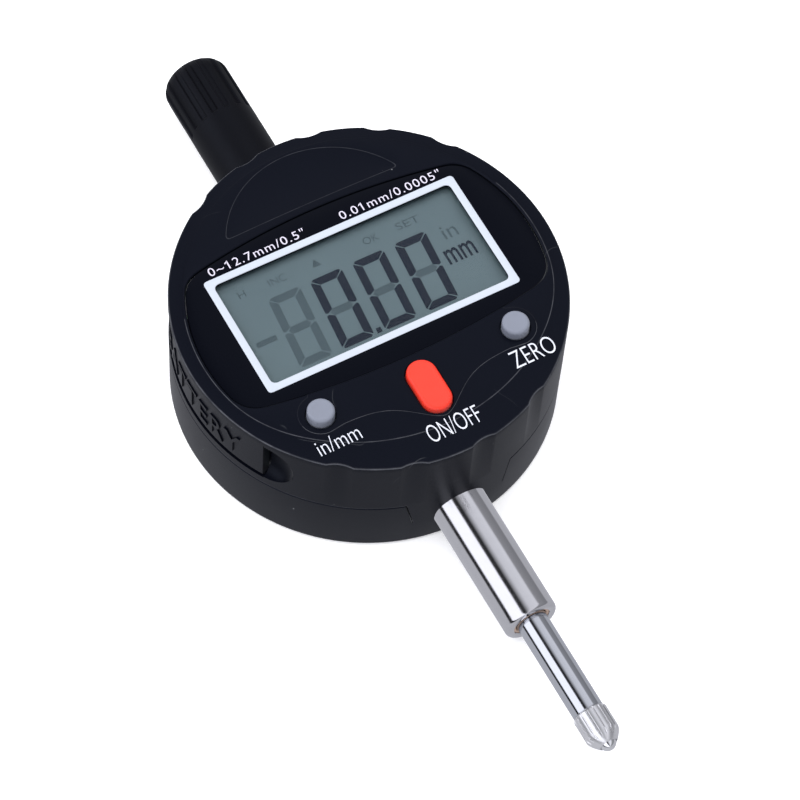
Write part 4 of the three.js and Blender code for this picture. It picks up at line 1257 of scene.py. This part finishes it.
def contact_point():
    """The fluted collar and its cone: seventeen grooves that fade out where the cone begins."""
    low, high = span("contact_point")
    rim, top = low[1], high[1]
    shoulder = spindle_low[1] - 0.04
    r = (high[0] - low[0]) / 2
    taper = shoulder - 3.5
    count, depth = 17, 0.20
    profile = [(0.01, top), (1.0, top), (1.1, top - 0.15), (1.1, shoulder)]
    profile += [(r - 0.25, shoulder), (r - 0.08, shoulder - 0.06)]
    profile += [(r, y) for y in np.linspace(shoulder - 0.2, taper, 12)]
    profile += [(r - 0.13, taper - 0.35), (r - 0.38, taper - 0.8), (1.80, taper - 1.2), (1.44, rim + 0.05)]
    profile += [(1.37, rim), (1.28, rim), (1.28, rim + 0.35), (0.9, rim + 1.3), (0.01, rim + 1.6)]

    def fluted(radius, y, angle):
        wave = np.abs(((angle * count / TAU) % 1.0) - 0.5) * 2
        groove = depth * np.clip((wave - 0.68) / 0.22, 0, 1)
        on = np.clip((shoulder - 0.12 - y) / 0.12, 0, 1) * np.clip((y - taper + 0.75) / 0.6, 0, 1)
        return np.where(radius > 1.4, radius - groove * on, radius)

    grid = turned_y(profile, count * 20, fluted)
    turned_piece("contact_point_surface", grid, point_steel, "spindle", "contact_point", 28.0)


def contact_ball():
    """A half circle (r sin a, centre - r cos a) turned round the spindle's axis."""
    low, high = span("contact_ball")
    r = (high[0] - low[0]) / 2
    centre = (low[1] + high[1]) / 2
    bend = np.linspace(0.02, np.pi - 0.02, 40)
    grid = turned_y(np.stack([r * np.sin(bend), centre - r * np.cos(bend)], 1), 64)
    turned_piece("contact_ball_surface", grid, ball_steel, "spindle", "contact_ball")


def return_spring():
    """A helix of round wire, (R cos a, y0 + h a, R sin a) for ten turns, left at one length; the spindle's
    travel squashes the real spring.
    """
    low, high = span("return_spring")
    wire, turns = 0.25, 10
    length = high[1] - low[1]
    radius = (high[0] - low[0]) / 2 - wire
    a = np.linspace(0, turns * TAU, turns * 36 + 1)[:, None]
    b = np.linspace(0, TAU, 10, endpoint=False)[None, :]
    y = low[1] + wire + (length - 2 * wire) * a / (turns * TAU) + wire * np.sin(b)
    r = radius + wire * np.cos(b)
    shape = sheet(np.stack([r * np.cos(a), y, AXIS_Z + r * np.sin(a)], -1), capped=True)
    made = piece("return_spring_surface", shape, spring_steel, "case", "return_spring")
    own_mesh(made)


tube("stem", stepped("stem", -1), stem_steel)
tube("upper_guide", stepped("upper_guide", 1), stem_steel)
tube("lower_bush", bush_profile("lower_bush"), bronze, 96)
tube("upper_bush", bush_profile("upper_bush"), bronze, 96)
spindle()
contact_point()
contact_ball()
return_spring()


# ---------------------------------------------------------------- dust cap
def dust_cap():
    """A hollow cap: sixteen shallow flutes run from part way along to its rounded end."""
    low, high = span("dust_cap")
    r = (high[0] - low[0]) / 2
    y0, y1 = low[1], high[1]
    flute_start = y1 - 10.75
    round_r = 2.5
    count, depth = 16, 0.30
    bore, mouth, mouth_end, roof = 2.9, r - 0.8, y0 + 5.9, y1 - 2.1
    profile = [(0.01, roof), (bore, roof), (bore, mouth_end), (mouth, mouth_end), (mouth, y0)]
    profile += [(r - 0.12, y0), (r, y0 + 0.12)]
    profile += [(r, y) for y in np.linspace(y0 + 1, flute_start - 0.2, 4)]
    profile += [(r, flute_start + d) for d in (0.0, 0.12, 0.24, 0.4, 0.7)]
    profile += [(r, y) for y in np.linspace(flute_start + 1.5, y1 - round_r - 0.2, 4)]
    profile += [*arc((r - round_r, y1 - round_r), round_r, 0, 90, 12), (1.2, y1), (0.01, y1)]

    def fluted(radius, y, angle):
        phase = (angle * count / TAU + 0.15) % 1.0
        groove = depth * np.clip((0.27 - np.abs(phase - 0.5)) / 0.08, 0, 1)
        on = np.clip((y - flute_start) / 0.4, 0, 1) * np.clip((y1 - 0.5 - y) / 1.2, 0, 1)
        return np.where((radius > 3.0) & (y > flute_start - 0.1), radius - groove * on, radius)

    grid = turned_y(profile, count * 24, fluted)
    turned_piece("dust_cap_surface", grid, cap_plastic, "cap", "dust_cap", 32.0)


dust_cap()


# ---------------------------------------------------------------- back cover and its screws
def middle_of(node):
    """The middle of a node's box, seen from above."""
    low, high = span(node)
    return (low[0] + high[0]) / 2, (low[1] + high[1]) / 2


def back_cover():
    """A disc with a fine groove round it and a bevelled seat for each screw."""
    r = cover_high[0] + 0.15
    top = cover_high[2]
    profile = [(0.01, 0.0), (19.8, 0.0), (20.0, 0.12), (20.4, 0.12), (20.6, 0.0)]
    profile += [(r - 0.2, 0.0), (r, 0.2), (r, top), (0.01, top)]
    grid = turned_z(profile, 256)
    made = turned_piece("back_cover_surface", grid, black_plastic, "case", "back_cover")
    seat = [(2.25, -1), (2.25, -0.02), (2.05, 0.18), (2.05, 1.1)]
    screws = [f"case_screw_{number}" for number in range(1, 5)]
    carve(made, [cutter(turned_z(seat, 48, *middle_of(screw))) for screw in screws])


def case_screw(number):
    """A pan head with a cross recess, and its shank."""
    node = f"case_screw_{number}"
    low, high = span(node)
    centre = np.array(middle_of(node))
    r = (high[0] - low[0]) / 2
    head = low[2] + 0.65
    shank = 1.0
    profile = [(0.01, low[2]), (r - 0.45, low[2]), (r - 0.15, low[2] + 0.08), (r, low[2] + 0.25), (r, head)]
    profile += [(shank, head), (shank, high[2] - 0.6), (0.5, high[2]), (0.01, high[2])]
    grid = turned_z(profile, 48, *centre)
    made = turned_piece(f"{node}_surface", grid, screw_steel, "case", node)
    cross = []
    for turn in (0, np.pi / 2):
        a = turn + 0.5 * number
        length_way, width_way = np.array([np.cos(a), np.sin(a)]), np.array([-np.sin(a), np.cos(a)])
        rows = []
        for z, length, width in ((low[2] - 0.5, 1.25, 0.27), (low[2] + 0.42, 0.75, 0.2)):
            outline = [
                centre + sx * length * length_way + sy * width * width_way
                for sx, sy in ((-1, -1), (1, -1), (1, 1), (-1, 1))
            ]
            rows.append(lifted(outline, z))
        cross.append(cutter(np.stack(rows)))
    carve(made, cross)


back_cover()
for screw in range(1, 5):
    case_screw(screw)


# ---------------------------------------------------------------- studio
def floor():
    """A wide pale sheet just under the case. Polished metal mirrors the studio and not the sheet."""
    half, below = 3000.0, -0.02
    corners = np.array([(-half, -half), (half, -half), (half, half), (-half, half)])
    s = Shader("floor_paper")
    tone = s.mix(s.noise(3.0, 2.0), grey(0.87), grey(0.90))
    paper = s.principled(
        tone, Roughness=0.85, Specular_IOR_Level=0.1, Emission_Color=grey(1.0), Emission_Strength=0.35
    )
    made = piece("floor", (lifted(corners, below), [[0, 1, 2, 3]]), s.finish(paper), None)
    made.visible_glossy = False


def softbox(name, centre, width, length, power):
    """A soft light at centre looking at the origin, metres and watts, that shows in no reflection."""
    lamp = bpy.data.lights.new(name, "AREA")
    lamp.shape = "RECTANGLE"
    lamp.size = width
    lamp.size_y = length
    lamp.energy = power
    holder = bpy.data.objects.new(name, lamp)
    bpy.context.scene.collection.objects.link(holder)
    towards = Vector(centre).normalized()
    side = Vector((0, 1, 0)).cross(towards).normalized()
    upward = towards.cross(side).normalized()
    turned = Matrix((side, upward, towards)).transposed().to_4x4()
    holder.matrix_world = Matrix.Translation(Vector(centre)) @ turned
    holder.visible_glossy = False


# Brightness of the studio by angle about the spindle, in degrees from straight up towards +X: a long white
# panel on the left, a dark gap overhead where the camera stands, a paler panel on the right, grey below.
BANDS = [
    (-180, 0.60), (-101, 0.64), (-97, 0.10), (-95, 0.02), (-84, 0.02), (-80, 1.55), (-34, 1.55),
    (-30, 0.03), (-17, 0.03), (-8, 0.45), (4, 0.84), (38, 0.94), (46, 0.36), (84, 0.27), (89, 0.58),
    (130, 0.55), (180, 0.60),
]


def studio():
    """Long panels parallel to the spindle; the camera itself sees a plain white backdrop."""
    world = bpy.data.worlds.new("studio")
    bpy.context.scene.world = world
    world.use_nodes = True
    tree = world.node_tree
    direction = tree.nodes.new("ShaderNodeTexCoord")
    parts = tree.nodes.new("ShaderNodeSeparateXYZ")
    angle = tree.nodes.new("ShaderNodeMath")
    angle.operation = "ARCTAN2"
    share = tree.nodes.new("ShaderNodeMapRange")
    share.inputs["From Min"].default_value = -np.pi
    share.inputs["From Max"].default_value = np.pi
    ramp = tree.nodes.new("ShaderNodeValToRGB")
    for stop, (degrees, level) in zip(Shader.stops(ramp, len(BANDS)), BANDS):
        stop.position = degrees / 360 + 0.5
        stop.color = (0.95 * level, 0.965 * level, 1.05 * level, 1.0)
    rays = tree.nodes.new("ShaderNodeLightPath")
    choose = tree.nodes.new("ShaderNodeMix")
    choose.data_type = "RGBA"
    choose.inputs[7].default_value = (1.0, 1.0, 1.0, 1.0)
    link = tree.links.new
    link(direction.outputs["Generated"], parts.inputs[0])
    link(parts.outputs["X"], angle.inputs[0])
    link(parts.outputs["Z"], angle.inputs[1])
    link(angle.outputs[0], share.inputs["Value"])
    link(share.outputs[0], ramp.inputs["Fac"])
    link(rays.outputs["Is Camera Ray"], choose.inputs[0])
    link(ramp.outputs["Color"], choose.inputs[6])
    link(choose.outputs[2], tree.nodes["Background"].inputs["Color"])


floor()
studio()
softbox("overhead_softbox", (-0.25, 0.15, 0.95), 0.8, 1.0, 9.0)
softbox("right_softbox", (0.60, 0.10, 0.70), 0.6, 1.0, 4.0)
bpy.context.scene.view_settings.view_transform = "Standard"
